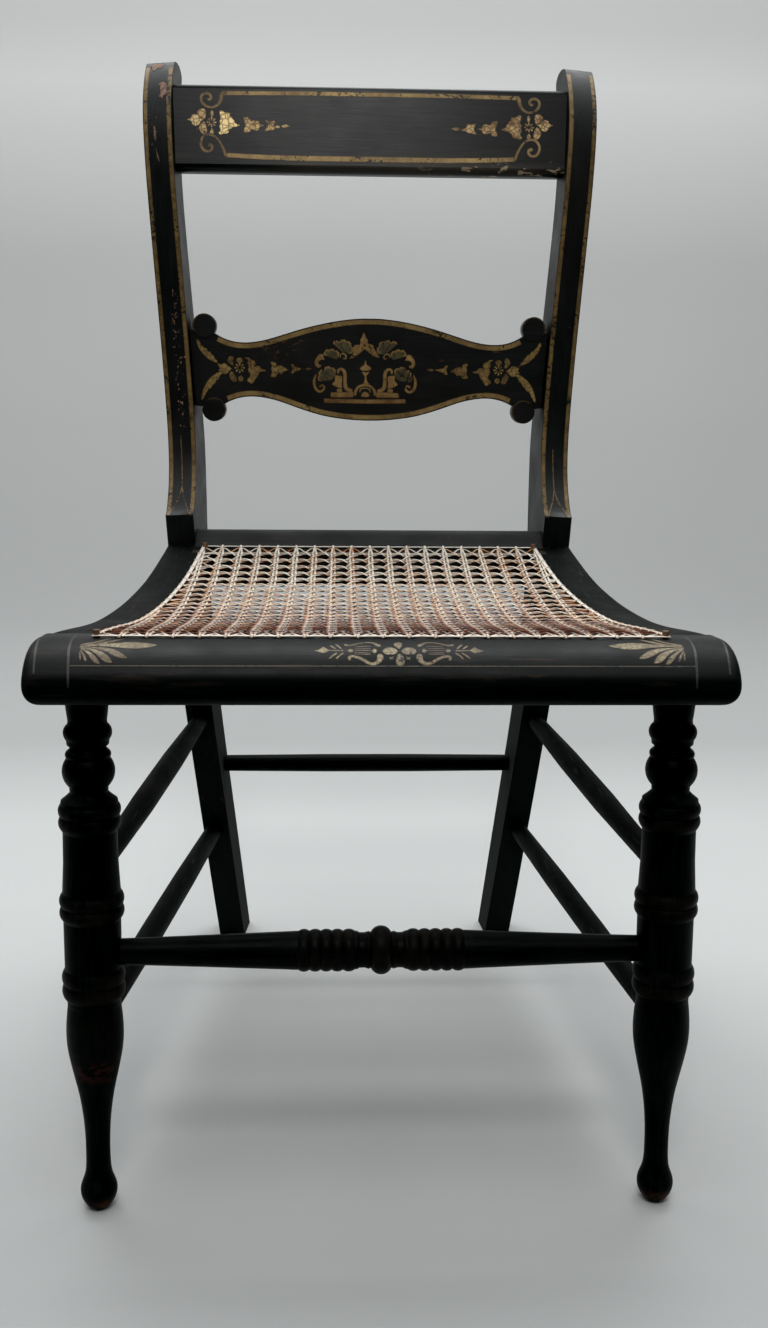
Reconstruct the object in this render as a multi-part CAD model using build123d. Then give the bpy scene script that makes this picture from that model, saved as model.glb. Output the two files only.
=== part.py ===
from build123d import *
import os
import math

os.makedirs("parts", exist_ok=True)

# ---------------------------------------------------------------------------
# Painted and stencilled side chair, sabre-shaped sawn back posts, rolled
# front rail, turned front legs, cane seat.  Millimetres, +Z up, the sitter
# faces -Y.  Origin: on the floor, in the middle of the overall box.
# ---------------------------------------------------------------------------

# driving dimensions --------------------------------------------------------
YC = 211.75                 # distance from the front-leg line to the origin
SEAT_ROLL_LEN = 451.0      # seat front rail, end to end
POST_A, POST_B, POST_C = 156.8, 0.0611, -0.0956   # outer face of a back post
POST_Y0 = 360.0            # reference depth of that face
POST_W = 25.5              # board thickness of a back post, across
LEG_TOP = (192.1, -3.7, 352.6)
LEG_FOOT = (194.1, -19.0, 0.0)
CREST_Z0, CREST_Z1 = 741.8, 817.8
CREST_Y0, CREST_Y1 = 397.5, 414.0   # front face at bottom and top
CREST_T = 18.0
SLAT_Y = 402.0
SLAT_T = 13.0
RAIL_T = 26.0              # seat side rail thickness
RAIL_OUT_F, RAIL_OUT_B = 218.6, 182.8   # outer edge at front and back ends
RAIL_IN_F, RAIL_IN_B = 175.0, 139.0
ROLL_BACK = 18.5           # back face of the front rail
POST_FRONT = 352.6         # front face of a post at seat height
UPPER_SIDE_Z = (237.0, 247.0)      # upper side stretcher at front, back
LOWER_SIDE_Z = (133.0, 126.5)
FRONT_STRETCHER_Z = 185.6
LOWER_SIDE_OUT = 2.5              # lower side stretcher sits this far outside the middle of the post
REAR_STRETCHER = (401.2, 194.5)
CANE_FRONT_Y, CANE_BACK_Y = -5.6, 346.2
CANE_FRONT_X, CANE_BACK_X = 188.5, 151.5
CANE_T = 1.6
HOLE_D = 4.2
HOLE_INSET = 2.3
PEG_INSET = 3.7
FRONT_HOLES, BACK_HOLES, SIDE_HOLES = 22, 18, 22   # spaces along each edge
BINDER_W = 4.6
BINDER_T = 1.1

# seat surface along the depth: dished, up to the front roll and the posts
SEAT_TOP = [(368.0, 420.9), (352.6, 416.0), (341.1, 412.4), (326.1, 408.6),
            (297.2, 401.6), (266.3, 395.4), (230.8, 390.8), (191.3, 387.6),
            (156.4, 386.6), (114.8, 387.4), (88.3, 389.6), (51.3, 393.9),
            (18.5, 397.2), (5.2, 398.1), (-6.8, 398.6)]


def seat_z(y):
    pts = sorted(SEAT_TOP)
    for (y0, z0), (y1, z1) in zip(pts, pts[1:]):
        if y0 <= y <= y1:
            return z0 + (z1 - z0) * (y - y0) / (y1 - y0)
    return pts[0][1] if y < pts[0][0] else pts[-1][1]


def post_x(y, z):
    return POST_A + POST_B * z + POST_C * (y - POST_Y0)


# planes of the right-hand post board ---------------------------------------
N = Vector(1.0, -POST_C, -POST_B).normalized()
U = Vector(POST_C, 1.0, 0.0).normalized()
P0 = Vector(POST_A, POST_Y0, 0.0)
OUT = Plane(origin=P0, x_dir=U, z_dir=N)
V = OUT.y_dir
T_POST = POST_W / math.sqrt(1 + POST_B ** 2 + POST_C ** 2)


def local(y, z, dx=0.0):
    d = Vector(post_x(y, z) - dx, y, z) - P0
    return (d.dot(U), d.dot(V))


def on_post(y, z):
    return local(y, z)


def yz_face(pts):
    """Closed face in the YZ plane from (y, z) pairs."""
    return make_face(Polyline(*[(0, y, z) for y, z in pts], close=True))


def prism_x(face, x0, x1):
    """Extrude a YZ face from x0 to x1."""
    return extrude(Pos(x0, 0, 0) * face, amount=x1 - x0, dir=(1, 0, 0))


def box(x0, x1, y0, y1, z0, z1):
    return Pos((x0 + x1) / 2, (y0 + y1) / 2, (z0 + z1) / 2) * Box(
        x1 - x0, y1 - y0, z1 - z0)


def flip(s):
    return mirror(s, about=Plane.YZ)


def along(p, q):
    """Plane at p whose Z axis points to q."""
    a, b = Vector(*p), Vector(*q)
    return Plane(origin=a, z_dir=(b - a))


def turned(p, q, steps):
    """Solid of revolution about the line p-q.

    steps: list of ("L", s, r) straight to, ("A", sm, rm, s, r) arc through
    (sm, rm) to (s, r), or ("S", [(s, r), ...]) a smooth curve through points;
    s is measured from p along the axis."""
    pl = along(p, q)
    s0, r0 = steps[0][1], steps[0][2]
    edges = [Line((0, 0, s0), (r0, 0, s0))]
    cur = (r0, s0)
    for st in steps[1:]:
        if st[0] == "S":
            run = [(cur[0], 0, cur[1])] + [(r, 0, q) for q, r in st[1]]
            edges.append(Spline(*run))
            nxt = (run[-1][0], run[-1][2])
        elif st[0] == "L":
            nxt = (st[2], st[1])
            if abs(nxt[0] - cur[0]) < 1e-6 and abs(nxt[1] - cur[1]) < 1e-6:
                continue
            edges.append(Line((cur[0], 0, cur[1]), (nxt[0], 0, nxt[1])))
        else:
            nxt = (st[4], st[3])
            edges.append(ThreePointArc((cur[0], 0, cur[1]),
                                       (st[2], 0, st[1]),
                                       (nxt[0], 0, nxt[1])))
        cur = nxt
    edges.append(Line((cur[0], 0, cur[1]), (0, 0, cur[1])))
    edges.append(Line((0, 0, cur[1]), (0, 0, s0)))
    wire = Wire(edges)
    body = revolve(make_face(wire), axis=Axis.Z, revolution_arc=360)
    return pl * body


# half-space outside the inner face of the right-hand post, moved inwards by -d
def outside(d):
    pl = Plane(origin=P0 - N * (T_POST - d), x_dir=U, z_dir=N)
    return pl * (Pos(0, 450, 250) * Box(2400, 2400, 500))


def between_posts(d):
    o = outside(d)
    return box(-500, 500, -100, 600, -100, 1000) - o - flip(o)


# ---------------------------------------------------------------------------
# back post: one sawn board, rear leg and stile in one piece
# ---------------------------------------------------------------------------
FRONT_LEG_EDGE = [(436.7, -15.0), (433.0, 0.0), (421.4, 40.8), (408.0, 89.7),
                  (392.2, 149.6), (378.1, 203.4), (366.8, 250.3),
                  (357.4, 299.2), (352.6, 349.2)]
STILE_FRONT = [(352.6, 441.2), (359.2, 445.8), (366.7, 454.3), (373.6, 463.6),
               (379.5, 474.1), (384.0, 484.8), (387.2, 495.6), (389.6, 506.6),
               (391.4, 519.6), (392.8, 539.6), (393.8, 564.6), (394.0, 594.6),
               (393.3, 634.6), (392.3, 669.6), (391.7, 699.6), (391.7, 729.6),
               (393.3, 754.6), (396.4, 776.7), (402.6, 797.7), (411.3, 813.8),
               (422.2, 827.9), (429.0, 835.0)]
STILE_BACK = [(460.1, 829.3), (452.2, 813.7), (444.4, 799.1), (435.6, 780.0),
              (428.8, 760.0), (424.3, 739.9), (422.5, 719.9), (422.5, 699.9),
              (424.1, 669.9), (426.2, 634.9), (428.9, 599.9), (431.7, 565.0),
              (433.3, 540.0), (433.4, 520.0), (431.9, 500.0), (427.5, 479.9),
              (421.2, 454.9), (413.9, 429.8), (407.6, 404.7), (403.5, 374.7),
              (401.4, 339.7), (402.4, 299.7), (406.3, 259.7), (413.9, 219.8),
              (423.8, 177.9), (435.7, 130.0), (448.9, 74.1), (460.5, 25.2),
              (466.5, 0.0), (470.2, -15.0)]

fl = [on_post(*p) for p in FRONT_LEG_EDGE]
sf = [on_post(*p) for p in STILE_FRONT]
sb = [on_post(*p) for p in STILE_BACK]
tip = on_post(441.0, 839.4)
w = [Spline(*fl),
     Line(fl[-1], sf[0]),
     Spline(*sf),
     Spline(sf[-1], on_post(434.0, 838.0), tip, on_post(449.0, 839.2),
            on_post(456.0, 836.8), on_post(459.7, 833.2), sb[0]),
     Spline(*sb),
     Line(sb[-1], fl[0])]
post_blank = OUT * extrude(make_face(Wire(w)), amount=-T_POST)
post_blank = post_blank - box(0, 400, 300, 600, -60, 0)

# ---------------------------------------------------------------------------
# front rail: a solid roll, round to the front and under
# ---------------------------------------------------------------------------
top_run = [(ROLL_BACK, 397.2), (5.2, 398.1), (-6.8, 398.6), (-17.7, 397.1),
           (-27.7, 393.4), (-35.7, 387.7), (-41.1, 380.7), (-43.0, 374.2),
           (-41.5, 368.7), (-36.0, 363.9), (-28.4, 360.6), (-17.4, 357.5),
           (-7.3, 355.0), (2.7, 353.5)]
roll_face = make_face(Wire([
    Spline(*[(0, y, z) for y, z in top_run]),
    Line((0, 2.7, 353.5), (0, ROLL_BACK, 353.5)),
    Line((0, ROLL_BACK, 353.5), (0, ROLL_BACK, 397.2))]))
roll = prism_x(roll_face, -SEAT_ROLL_LEN / 2, SEAT_ROLL_LEN / 2)
end_edges = [e for e in roll.edges()
             if abs(abs(e.center().X) - SEAT_ROLL_LEN / 2) < 0.01
             and e.center().Y < ROLL_BACK - 4 and e.length > 20]
try:
    roll = fillet(end_edges, 6.5)
except Exception:
    try:
        roll = fillet(end_edges, 4.0)
    except Exception:
        pass
roll_plain = roll

# ---------------------------------------------------------------------------
# seat side rails: dished boards between the roll and the posts
# ---------------------------------------------------------------------------
top_pts = [p for p in SEAT_TOP if ROLL_BACK - 0.3 <= p[0] <= POST_FRONT + 0.3]
bot_pts = [(y, z - RAIL_T) for y, z in reversed(top_pts)]
rail_prof = make_face(Wire([
    Spline(*[(0, y, z) for y, z in top_pts]),
    Line((0,) + top_pts[-1], (0,) + bot_pts[0]),
    Spline(*[(0, y, z) for y, z in bot_pts]),
    Line((0,) + bot_pts[-1], (0,) + top_pts[0])]))
rail_plan = extrude(make_face(Polyline(
    (RAIL_OUT_F, ROLL_BACK, 300), (RAIL_OUT_B, POST_FRONT, 300),
    (RAIL_IN_B, POST_FRONT, 300), (RAIL_IN_F, ROLL_BACK, 300), close=True)),
    amount=200, dir=(0, 0, 1))
side_rail = prism_x(rail_prof, 100, 260) & rail_plan
out_top = [e for e in side_rail.edges()
           if e.length > 250 and e.center().X > 195]
try:
    side_rail = fillet(out_top, 2.5)
except Exception:
    pass
tenon_front = box(189.0, 207.0, ROLL_BACK - 16.0, ROLL_BACK + 1.0,
                  376.0, 390.0)
tenon_back = box(164.0, 175.0, POST_FRONT - 1.0, POST_FRONT + 26.0,
                 394.0, 411.0)
side_rail_r = side_rail + tenon_front + tenon_back
side_plain = side_rail

# ---------------------------------------------------------------------------
# rear seat rail: between the posts, its top rolled up behind the cane
# ---------------------------------------------------------------------------
rear_top = [(333.1, 410.4), (341.1, 412.4), (347.0, 414.4), (350.6, 417.6),
            (354.0, 422.6), (358.5, 426.4), (364.0, 427.6), (370.0, 426.5),
            (374.0, 422.8)]
rear_face = make_face(Wire([
    Spline(*[(0, y, z) for y, z in rear_top]),
    Line((0, 374.0, 422.8), (0, 374.0, 387.0)),
    Line((0, 374.0, 387.0), (0, 333.1, 382.0)),
    Line((0, 333.1, 382.0), (0, 333.1, 410.4))]))
rear_rail = prism_x(rear_face, -200, 200) & between_posts(0.0)
rear_rail = rear_rail - side_plain - flip(side_plain)
rear_tenon = box(-200, 200, 358.0, 369.0, 396.0, 417.0) & between_posts(6.0)
rear_rail_full = rear_rail + rear_tenon

# ---------------------------------------------------------------------------
# crest rail
# ---------------------------------------------------------------------------
cy0, cy1 = CREST_Y0, CREST_Y1
crest_face = make_face(Wire([
    ThreePointArc((0, cy0 + 6.0, CREST_Z0), (0, cy0 + 1.6, CREST_Z0 + 2.4),
                  (0, cy0 + 0.6, CREST_Z0 + 7.0)),
    Line((0, cy0 + 0.6, CREST_Z0 + 7.0), (0, cy1 - 0.5, CREST_Z1 - 3.5)),
    ThreePointArc((0, cy1 - 0.5, CREST_Z1 - 3.5),
                  (0, cy1 + 1.2, CREST_Z1 - 0.8), (0, cy1 + 4.0, CREST_Z1)),
    Line((0, cy1 + 4.0, CREST_Z1), (0, cy1 + CREST_T - 3.0, CREST_Z1)),
    Line((0, cy1 + CREST_T - 3.0, CREST_Z1),
         (0, cy1 + CREST_T, CREST_Z1 - 4.0)),
    Line((0, cy1 + CREST_T, CREST_Z1 - 4.0),
         (0, cy0 + CREST_T, CREST_Z0 + 3.0)),
    Line((0, cy0 + CREST_T, CREST_Z0 + 3.0),
         (0, cy0 + CREST_T - 3.0, CREST_Z0)),
    Line((0, cy0 + CREST_T - 3.0, CREST_Z0), (0, cy0 + 6.0, CREST_Z0))]))
crest = prism_x(crest_face, -230, 230) & between_posts(0.0)
crest_ten = yz_face([(cy0 + 6.5, CREST_Z0 + 12), (cy0 + 14.5, CREST_Z0 + 12),
                     (cy1 + 11.0, CREST_Z1 - 14), (cy1 + 3.0, CREST_Z1 - 14)])
crest = crest + (prism_x(crest_ten, -230, 230) & between_posts(14.0))

# ---------------------------------------------------------------------------
# lower slat: wavy outline with four scroll discs
# ---------------------------------------------------------------------------
SLAT_TOP = [(0.0, 617.4), (10.0, 617.2), (20.0, 616.3), (30.0, 614.9),
            (44.0, 612.2), (58.0, 608.8), (72.0, 604.7), (84.0, 600.9),
            (94.0, 598.0), (103.0, 596.1), (112.0, 595.1), (121.0, 595.4),
            (130.0, 597.3), (138.0, 600.8), (145.0, 605.0)]
SLAT_BOT = [(0.0, 525.4), (10.0, 525.6), (20.0, 526.3), (30.0, 527.4),
            (44.0, 529.9), (58.0, 533.8), (72.0, 538.5), (84.0, 542.6),
            (94.0, 545.0), (103.0, 546.3), (112.0, 546.4), (121.0, 545.0),
            (130.0, 541.8), (137.0, 537.6)]
DISC_R = 10.8
DISCS = [(151.2, 609.6), (143.6, 534.6)]
top_r = [(x, 0, z) for x, z in SLAT_TOP]
bot_r = [(x, 0, z) for x, z in SLAT_BOT]
slat_half = make_face(Wire([
    Spline(*top_r),
    Line(top_r[-1], (172.0, 0, 607.0)),
    Line((172.0, 0, 607.0), (172.0, 0, 540.0)),
    Line((172.0, 0, 540.0), (147.0, 0, 536.0)),
    Line((147.0, 0, 536.0), bot_r[-1]),
    Spline(*reversed(bot_r)),
    Line(bot_r[0], top_r[0])]))
slat_r = extrude(Pos(0, SLAT_Y, 0) * slat_half, amount=SLAT_T, dir=(0, 1, 0))
for dx, dz in DISCS:
    slat_r = slat_r + Plane(origin=(dx, SLAT_Y + SLAT_T, dz),
                            z_dir=(0, -1, 0)) * extrude(Circle(DISC_R),
                                                        amount=SLAT_T + 1.0)
slat = (slat_r + flip(slat_r)) & between_posts(0.0)
slat = slat + (box(-200, 200, SLAT_Y + 2.5, SLAT_Y + 10.5, 545.0, 600.0)
               & between_posts(12.0) - between_posts(-1.0))

# ---------------------------------------------------------------------------
# front legs
# ---------------------------------------------------------------------------
FOOT_VASE = [(1.4, 7.4), (4.2, 9.6), (8.2, 11.6), (12.4, 12.5),
             (16.6, 12.2), (20.6, 10.9), (24.6, 9.5), (29.0, 8.7),
             (37.0, 8.3), (48.7, 8.3), (61.7, 8.9), (73.7, 10.1),
             (83.7, 11.6), (95.0, 13.9), (106.7, 16.4), (118.0, 18.4),
             (128.0, 19.1), (139.0, 18.7), (149.2, 17.6)]


def leg_steps():
    """(height above floor, radius) list, from the foot up."""
    S = []

    def L(z, r):
        S.append(("L", z, r))

    def A(zm, rm, z, r):
        S.append(("A", zm, rm, z, r))

    L(-6.0, 4.0)
    L(0.0, 5.6)
    S.append(("S", FOOT_VASE))
    L(153.7, 17.9)
    L(155.7, 19.6)
    A(160.6, 20.9, 165.0, 19.6)
    A(169.5, 20.9, 174.1, 19.6)
    L(175.5, 18.8)
    L(209.3, 18.9)
    L(210.7, 19.8)
    A(214.8, 21.3, 219.0, 19.9)
    A(223.2, 21.3, 227.5, 19.8)
    L(228.9, 19.1)
    L(249.7, 18.0)
    L(270.3, 17.8)
    L(272.3, 19.0)
    A(276.6, 20.4, 280.7, 19.1)
    A(284.8, 20.4, 288.9, 18.8)
    L(291.3, 18.4)
    A(294.1, 15.0, 296.5, 12.5)
    L(300.3, 12.7)
    L(301.9, 14.0)
    A(312.0, 17.1, 319.7, 14.0)
    A(322.3, 14.8, 324.9, 12.9)
    L(326.9, 11.5)
    L(328.7, 13.6)
    L(331.9, 14.0)
    A(337.5, 15.7, 342.3, 12.9)
    L(344.7, 12.6)
    A(349.7, 13.3, 363.7, 14.4)
    return S


leg_blank = turned(LEG_FOOT, LEG_TOP, leg_steps())
leg_blank = leg_blank - box(100, 300, -100, 60, -60, 0.0)
leg_blank = leg_blank - roll_plain - side_plain - box(100, 300, -60, 60, 362, 420)
leg_tenon = turned(LEG_FOOT, LEG_TOP, [("L", 346.0, 9.0), ("L", 381.0, 9.0)])
front_leg = leg_blank + leg_tenon


def leg_axis(z):
    t = (z - LEG_FOOT[2]) / (LEG_TOP[2] - LEG_FOOT[2])
    return tuple(LEG_FOOT[i] + (LEG_TOP[i] - LEG_FOOT[i]) * t for i in range(3))


# ---------------------------------------------------------------------------
# front stretcher, turned
# ---------------------------------------------------------------------------
fa = leg_axis(FRONT_STRETCHER_Z)
half = fa[0]


def fs_half():
    """Radius against distance from the middle, one side."""
    out = [("A", 5.2, 13.8, 6.9, 12.0)]
    out += [("L", 8.4, 12.5), ("L", 9.6, 12.2), ("L", 11.2, 11.7),
            ("L", 14.6, 11.8), ("L", 16.0, 12.6), ("L", 17.9, 12.9)]
    s = 18.2
    for k in range(5):
        out.append(("A", s + 3.75, 14.2, s + 7.5, 12.9))
        s += 7.5
    out += [("L", 57.4, 12.9), ("L", 60.0, 12.8), ("L", 110.0, 10.9),
            ("L", 150.0, 9.5), ("L", half - 19.0, 8.8),
            ("L", half - 17.0, 6.5), ("L", half - 6.0, 6.5)]
    return out


right = fs_half()
steps = [("L", 0.0, 16.2)] + [("A", 3.6, 15.4, 6.9, 12.0)] + right[1:]
fs_r = turned((0, fa[1], fa[2]), (fa[0], fa[1], fa[2]), steps)
front_stretcher = fs_r + flip(fs_r)

# ---------------------------------------------------------------------------
# plain round stretchers
# ---------------------------------------------------------------------------


def dowel(p, q, r_end_p, r_mid, r_end_q, ten, tr):
    """Tapered round between p and q with a reduced tenon at each end.
    p and q are the ends of the tenons."""
    n = math.dist(p, q)
    st = [("L", 0.0, tr), ("L", ten[0], tr), ("L", ten[0] + 0.6, r_end_p),
          ("L", n * 0.36, r_mid), ("L", n * 0.64, r_mid),
          ("L", n - ten[1] - 0.6, r_end_q), ("L", n - ten[1], tr),
          ("L", n, tr)]
    return turned(p, q, st)


def post_front_y(z):
    pts = sorted(FRONT_LEG_EDGE, key=lambda p: p[1])
    for (y0, z0), (y1, z1) in zip(pts, pts[1:]):
        if z0 <= z <= z1:
            return y0 + (y1 - y0) * (z - z0) / (z1 - z0)
    return POST_FRONT


def side_stretcher(zf, zb, r_f, r_mid, r_b, shift=0.0):
    a = leg_axis(zf)
    yb = post_front_y(zb)
    xb = post_x(yb, zb) - POST_W / 2 + shift
    d = Vector(xb - a[0], yb - a[1], zb - a[2]).normalized()
    p = Vector(*a) + d * 5.0
    q = Vector(xb, yb, zb) + d * 16.0
    return dowel(tuple(p), tuple(q), r_f, r_mid, r_b, (12.0, 16.5), 5.6)


upper_side = side_stretcher(UPPER_SIDE_Z[0], UPPER_SIDE_Z[1], 7.0, 9.3, 7.2)
lower_side = side_stretcher(LOWER_SIDE_Z[0], LOWER_SIDE_Z[1], 7.9, 9.3, 8.0,
                            LOWER_SIDE_OUT)

ry, rz = REAR_STRETCHER
rx = post_x(ry, rz) - POST_W
rear_stretcher = dowel((-rx - 13, ry, rz), (rx + 13, ry, rz),
                       7.8, 8.6, 7.8, (13.0, 13.0), 5.0)

# stretchers are shouldered against the leg surfaces, tenons run inside
leg_body = front_leg
post_body = post_blank


def socket(body, tool):
    return body - tool


def tenon_of(p, q, length, r):
    d = (Vector(*q) - Vector(*p)).normalized()
    e = Vector(*p) + d * length
    return turned(p, tuple(e), [("L", 0.0, r), ("L", length, r)])


# the thicker part of each stretcher is scribed to the turned leg surface
def scribed(st, leg, post=None, tenons=()):
    out = st - leg
    if post is not None:
        out = out - post
    for t in tenons:
        out = out + t
    return out


def stretcher_tenons(zf, zb, shift=0.0):
    a = leg_axis(zf)
    yb = post_front_y(zb)
    xb = post_x(yb, zb) - POST_W / 2 + shift
    d = Vector(xb - a[0], yb - a[1], zb - a[2]).normalized()
    p = Vector(*a) + d * 5.0
    q = Vector(xb, yb, zb) + d * 16.0
    tf = tenon_of(tuple(p), tuple(q), 26.0, 5.6)
    tb = tenon_of(tuple(q), tuple(p), 24.0, 5.6)
    return tf, tb


utf, utb = stretcher_tenons(*UPPER_SIDE_Z)
ltf, ltb = stretcher_tenons(*LOWER_SIDE_Z, LOWER_SIDE_OUT)
ftn = tenon_of((half - 6.0, fa[1], fa[2]), (0, fa[1], fa[2]), 24.0, 6.5)
rtn = tenon_of((rx + 13, ry, rz), (0, ry, rz), 22.0, 5.0)

upper_side = scribed(upper_side, leg_body, post_body, (utf, utb))
lower_side = scribed(lower_side, leg_body, post_body, (ltf, ltb))
front_stretcher = front_stretcher - leg_body - flip(leg_body) + ftn + flip(ftn)
rear_stretcher = rear_stretcher - post_body - flip(post_body) + rtn + flip(rtn)

front_leg_r = leg_body - upper_side - lower_side - front_stretcher

# ---------------------------------------------------------------------------
# back posts with their mortises
# ---------------------------------------------------------------------------
post_r = post_blank - crest - slat - rear_rail_full - side_rail_r \
    - upper_side - lower_side - rear_stretcher
post_l = flip(post_r)

# ---------------------------------------------------------------------------
# cane, its binder and its pegs
# ---------------------------------------------------------------------------
cane_top = [(y, z) for y, z in SEAT_TOP if y <= 352.7]
pad = 0.05


def seat_slab(z_lo, z_hi):
    up = [(0, y, z + z_hi) for y, z in cane_top]
    dn = [(0, y, z + z_lo) for y, z in reversed(cane_top)]
    return prism_x(make_face(Wire([Spline(*up), Line(up[-1], dn[0]),
                                   Spline(*dn), Line(dn[-1], up[0])])),
                   -230, 230)


def plan_poly(inset, yf=CANE_FRONT_Y, yb=CANE_BACK_Y):
    k = (CANE_FRONT_X - CANE_BACK_X) / (CANE_BACK_Y - CANE_FRONT_Y)
    sl = inset * math.sqrt(1 + k * k)
    y0, y1 = yf + inset, yb - inset

    def x(y):
        return CANE_FRONT_X - k * (y - CANE_FRONT_Y) - sl
    return [(x(y0), y0), (x(y1), y1), (-x(y1), y1), (-x(y0), y0)]


def plan_prism(inset):
    return extrude(make_face(Polyline(
        *[(x, y, 380) for x, y in plan_poly(inset)], close=True)),
        amount=60, dir=(0, 0, 1))


cane = seat_slab(pad, pad + CANE_T) & plan_prism(0.4)
binder = seat_slab(pad + CANE_T + 0.02, pad + CANE_T + 0.02 + BINDER_T) & (
    plan_prism(0.0) - plan_prism(BINDER_W))


def hole_points():
    c = plan_poly(HOLE_INSET)
    fr, br, bl, fl_ = c[0], c[1], c[2], c[3]
    pts = []
    for a, b, n in ((fr, br, SIDE_HOLES), (br, bl, BACK_HOLES),
                    (bl, fl_, SIDE_HOLES), (fl_, fr, FRONT_HOLES)):
        for i in range(1, n):
            pts.append((a[0] + (b[0] - a[0]) * i / n,
                        a[1] + (b[1] - a[1]) * i / n))
    return plan_poly(PEG_INSET), pts


corners, mids = hole_points()
frame_drills = [Pos(x, y, 385) * Cylinder(HOLE_D / 2, 110) for x, y in mids]


def drill(body, pts, r=HOLE_D / 2):
    bb = body.bounding_box()
    tools = [Pos(x, y, 400) * Cylinder(r, 120) for x, y in pts
             if bb.min.X - 3 < x < bb.max.X + 3
             and bb.min.Y - 3 < y < bb.max.Y + 3]
    for t in tools:
        body = body - t
    return body


PEG_R = 2.2
pegs = []
for x, y in corners:
    zc = seat_z(y)
    s = 1 if x > 0 else -1
    pegs.append(Pos(x, y, zc - 13.0) * extrude(Circle(PEG_R), amount=18.2))

all_pts = corners + mids
side_rail_r = side_rail_r - leg_body
roll = roll_plain - front_leg_r - flip(front_leg_r) \
    - side_rail_r - flip(side_rail_r)


def drill_group(body, pts_mid, pts_corner):
    body = drill(body, pts_mid)
    for x, y in pts_corner:
        body = body - Pos(x, y, seat_z(y) - 13.0) * extrude(
            Circle(PEG_R), amount=60)
    return body


front_mids = [p for p in mids if p[1] < ROLL_BACK - 3.0]
right_mids = [p for p in mids if ROLL_BACK + 3.0 < p[1] and p[0] > 100
              and p[1] < CANE_BACK_Y - HOLE_INSET - 1.0]
back_mids = [p for p in mids if abs(p[1] - (CANE_BACK_Y - HOLE_INSET)) < 0.5
             and abs(p[0]) < 133.0]

roll = drill_group(roll, front_mids, corners)
side_rail_r = drill_group(side_rail_r, right_mids, [c for c in corners
                                                    if c[0] > 0])
rear_rail_full = drill_group(rear_rail_full, back_mids, corners)
for x, y in corners:
    t = Pos(x, y, seat_z(y) - 13.0) * extrude(Circle(PEG_R), amount=60)
    cane = cane - t
    binder = binder - t
cane = cane - roll_plain - side_plain - flip(side_plain) - rear_rail

side_rail_l = flip(side_rail_r)
front_leg_l = flip(front_leg_r)

# ---------------------------------------------------------------------------
# write every piece in the part's own frame
# ---------------------------------------------------------------------------
NODES = {
    "back_post_right": post_r,
    "back_post_left": post_l,
    "crest_rail": crest,
    "lower_slat": slat,
    "seat_front_roll": roll,
    "seat_side_rail_right": side_rail_r,
    "seat_side_rail_left": side_rail_l,
    "seat_rear_rail": rear_rail_full,
    "front_leg_right": front_leg_r,
    "front_leg_left": front_leg_l,
    "front_stretcher": front_stretcher,
    "rear_stretcher": rear_stretcher,
    "side_stretcher_upper_right": upper_side,
    "side_stretcher_upper_left": flip(upper_side),
    "side_stretcher_lower_right": lower_side,
    "side_stretcher_lower_left": flip(lower_side),
    "cane_seat": cane,
    "cane_binder": binder,
    "cane_pegs": Compound(children=[p if isinstance(p, Solid) else p.solids()[0]
                                    for p in pegs]),
}

for name, shape in NODES.items():
    moved = Pos(0, -YC, 0) * shape
    sol = moved.solids()
    if name == "cane_pegs":
        out = Compound(children=list(sol))
    else:
        sol = sorted(sol, key=lambda q: -q.volume)
        big = [q for q in sol if q.volume > 1.0]
        if len(big) > 1:
            print("note", name, "has", len(big), "solids",
                  [round(q.volume) for q in big])
        out = big[0]
    out.label = name
    export_step(out, "parts/" + name + ".step")
    bb = out.bounding_box()
    print(name, round(sum(q.volume for q in sol)), "mm3",
          [round(v, 1) for v in (bb.min.X, bb.min.Y, bb.min.Z,
                                 bb.max.X, bb.max.Y, bb.max.Z)])
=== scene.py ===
import math
import random

import bmesh
import bpy
import numpy as np
from mathutils import Matrix, Vector, geometry
from mathutils.bvhtree import BVHTree


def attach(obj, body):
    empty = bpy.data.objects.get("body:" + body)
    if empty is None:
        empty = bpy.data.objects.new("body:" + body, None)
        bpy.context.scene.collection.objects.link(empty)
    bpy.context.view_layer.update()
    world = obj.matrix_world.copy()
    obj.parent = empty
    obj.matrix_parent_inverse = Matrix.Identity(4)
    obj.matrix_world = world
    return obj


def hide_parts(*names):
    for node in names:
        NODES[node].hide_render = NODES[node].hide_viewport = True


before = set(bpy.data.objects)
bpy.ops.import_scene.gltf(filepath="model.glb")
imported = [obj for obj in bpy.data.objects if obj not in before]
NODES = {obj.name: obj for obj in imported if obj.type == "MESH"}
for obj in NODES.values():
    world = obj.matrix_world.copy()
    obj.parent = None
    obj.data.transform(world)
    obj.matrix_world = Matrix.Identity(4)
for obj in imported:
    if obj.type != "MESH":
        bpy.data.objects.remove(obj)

bpy.context.view_layer.update()
MM = 0.001
YC = 211.75          # row y = fit y - 211.75 (mm)

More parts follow.
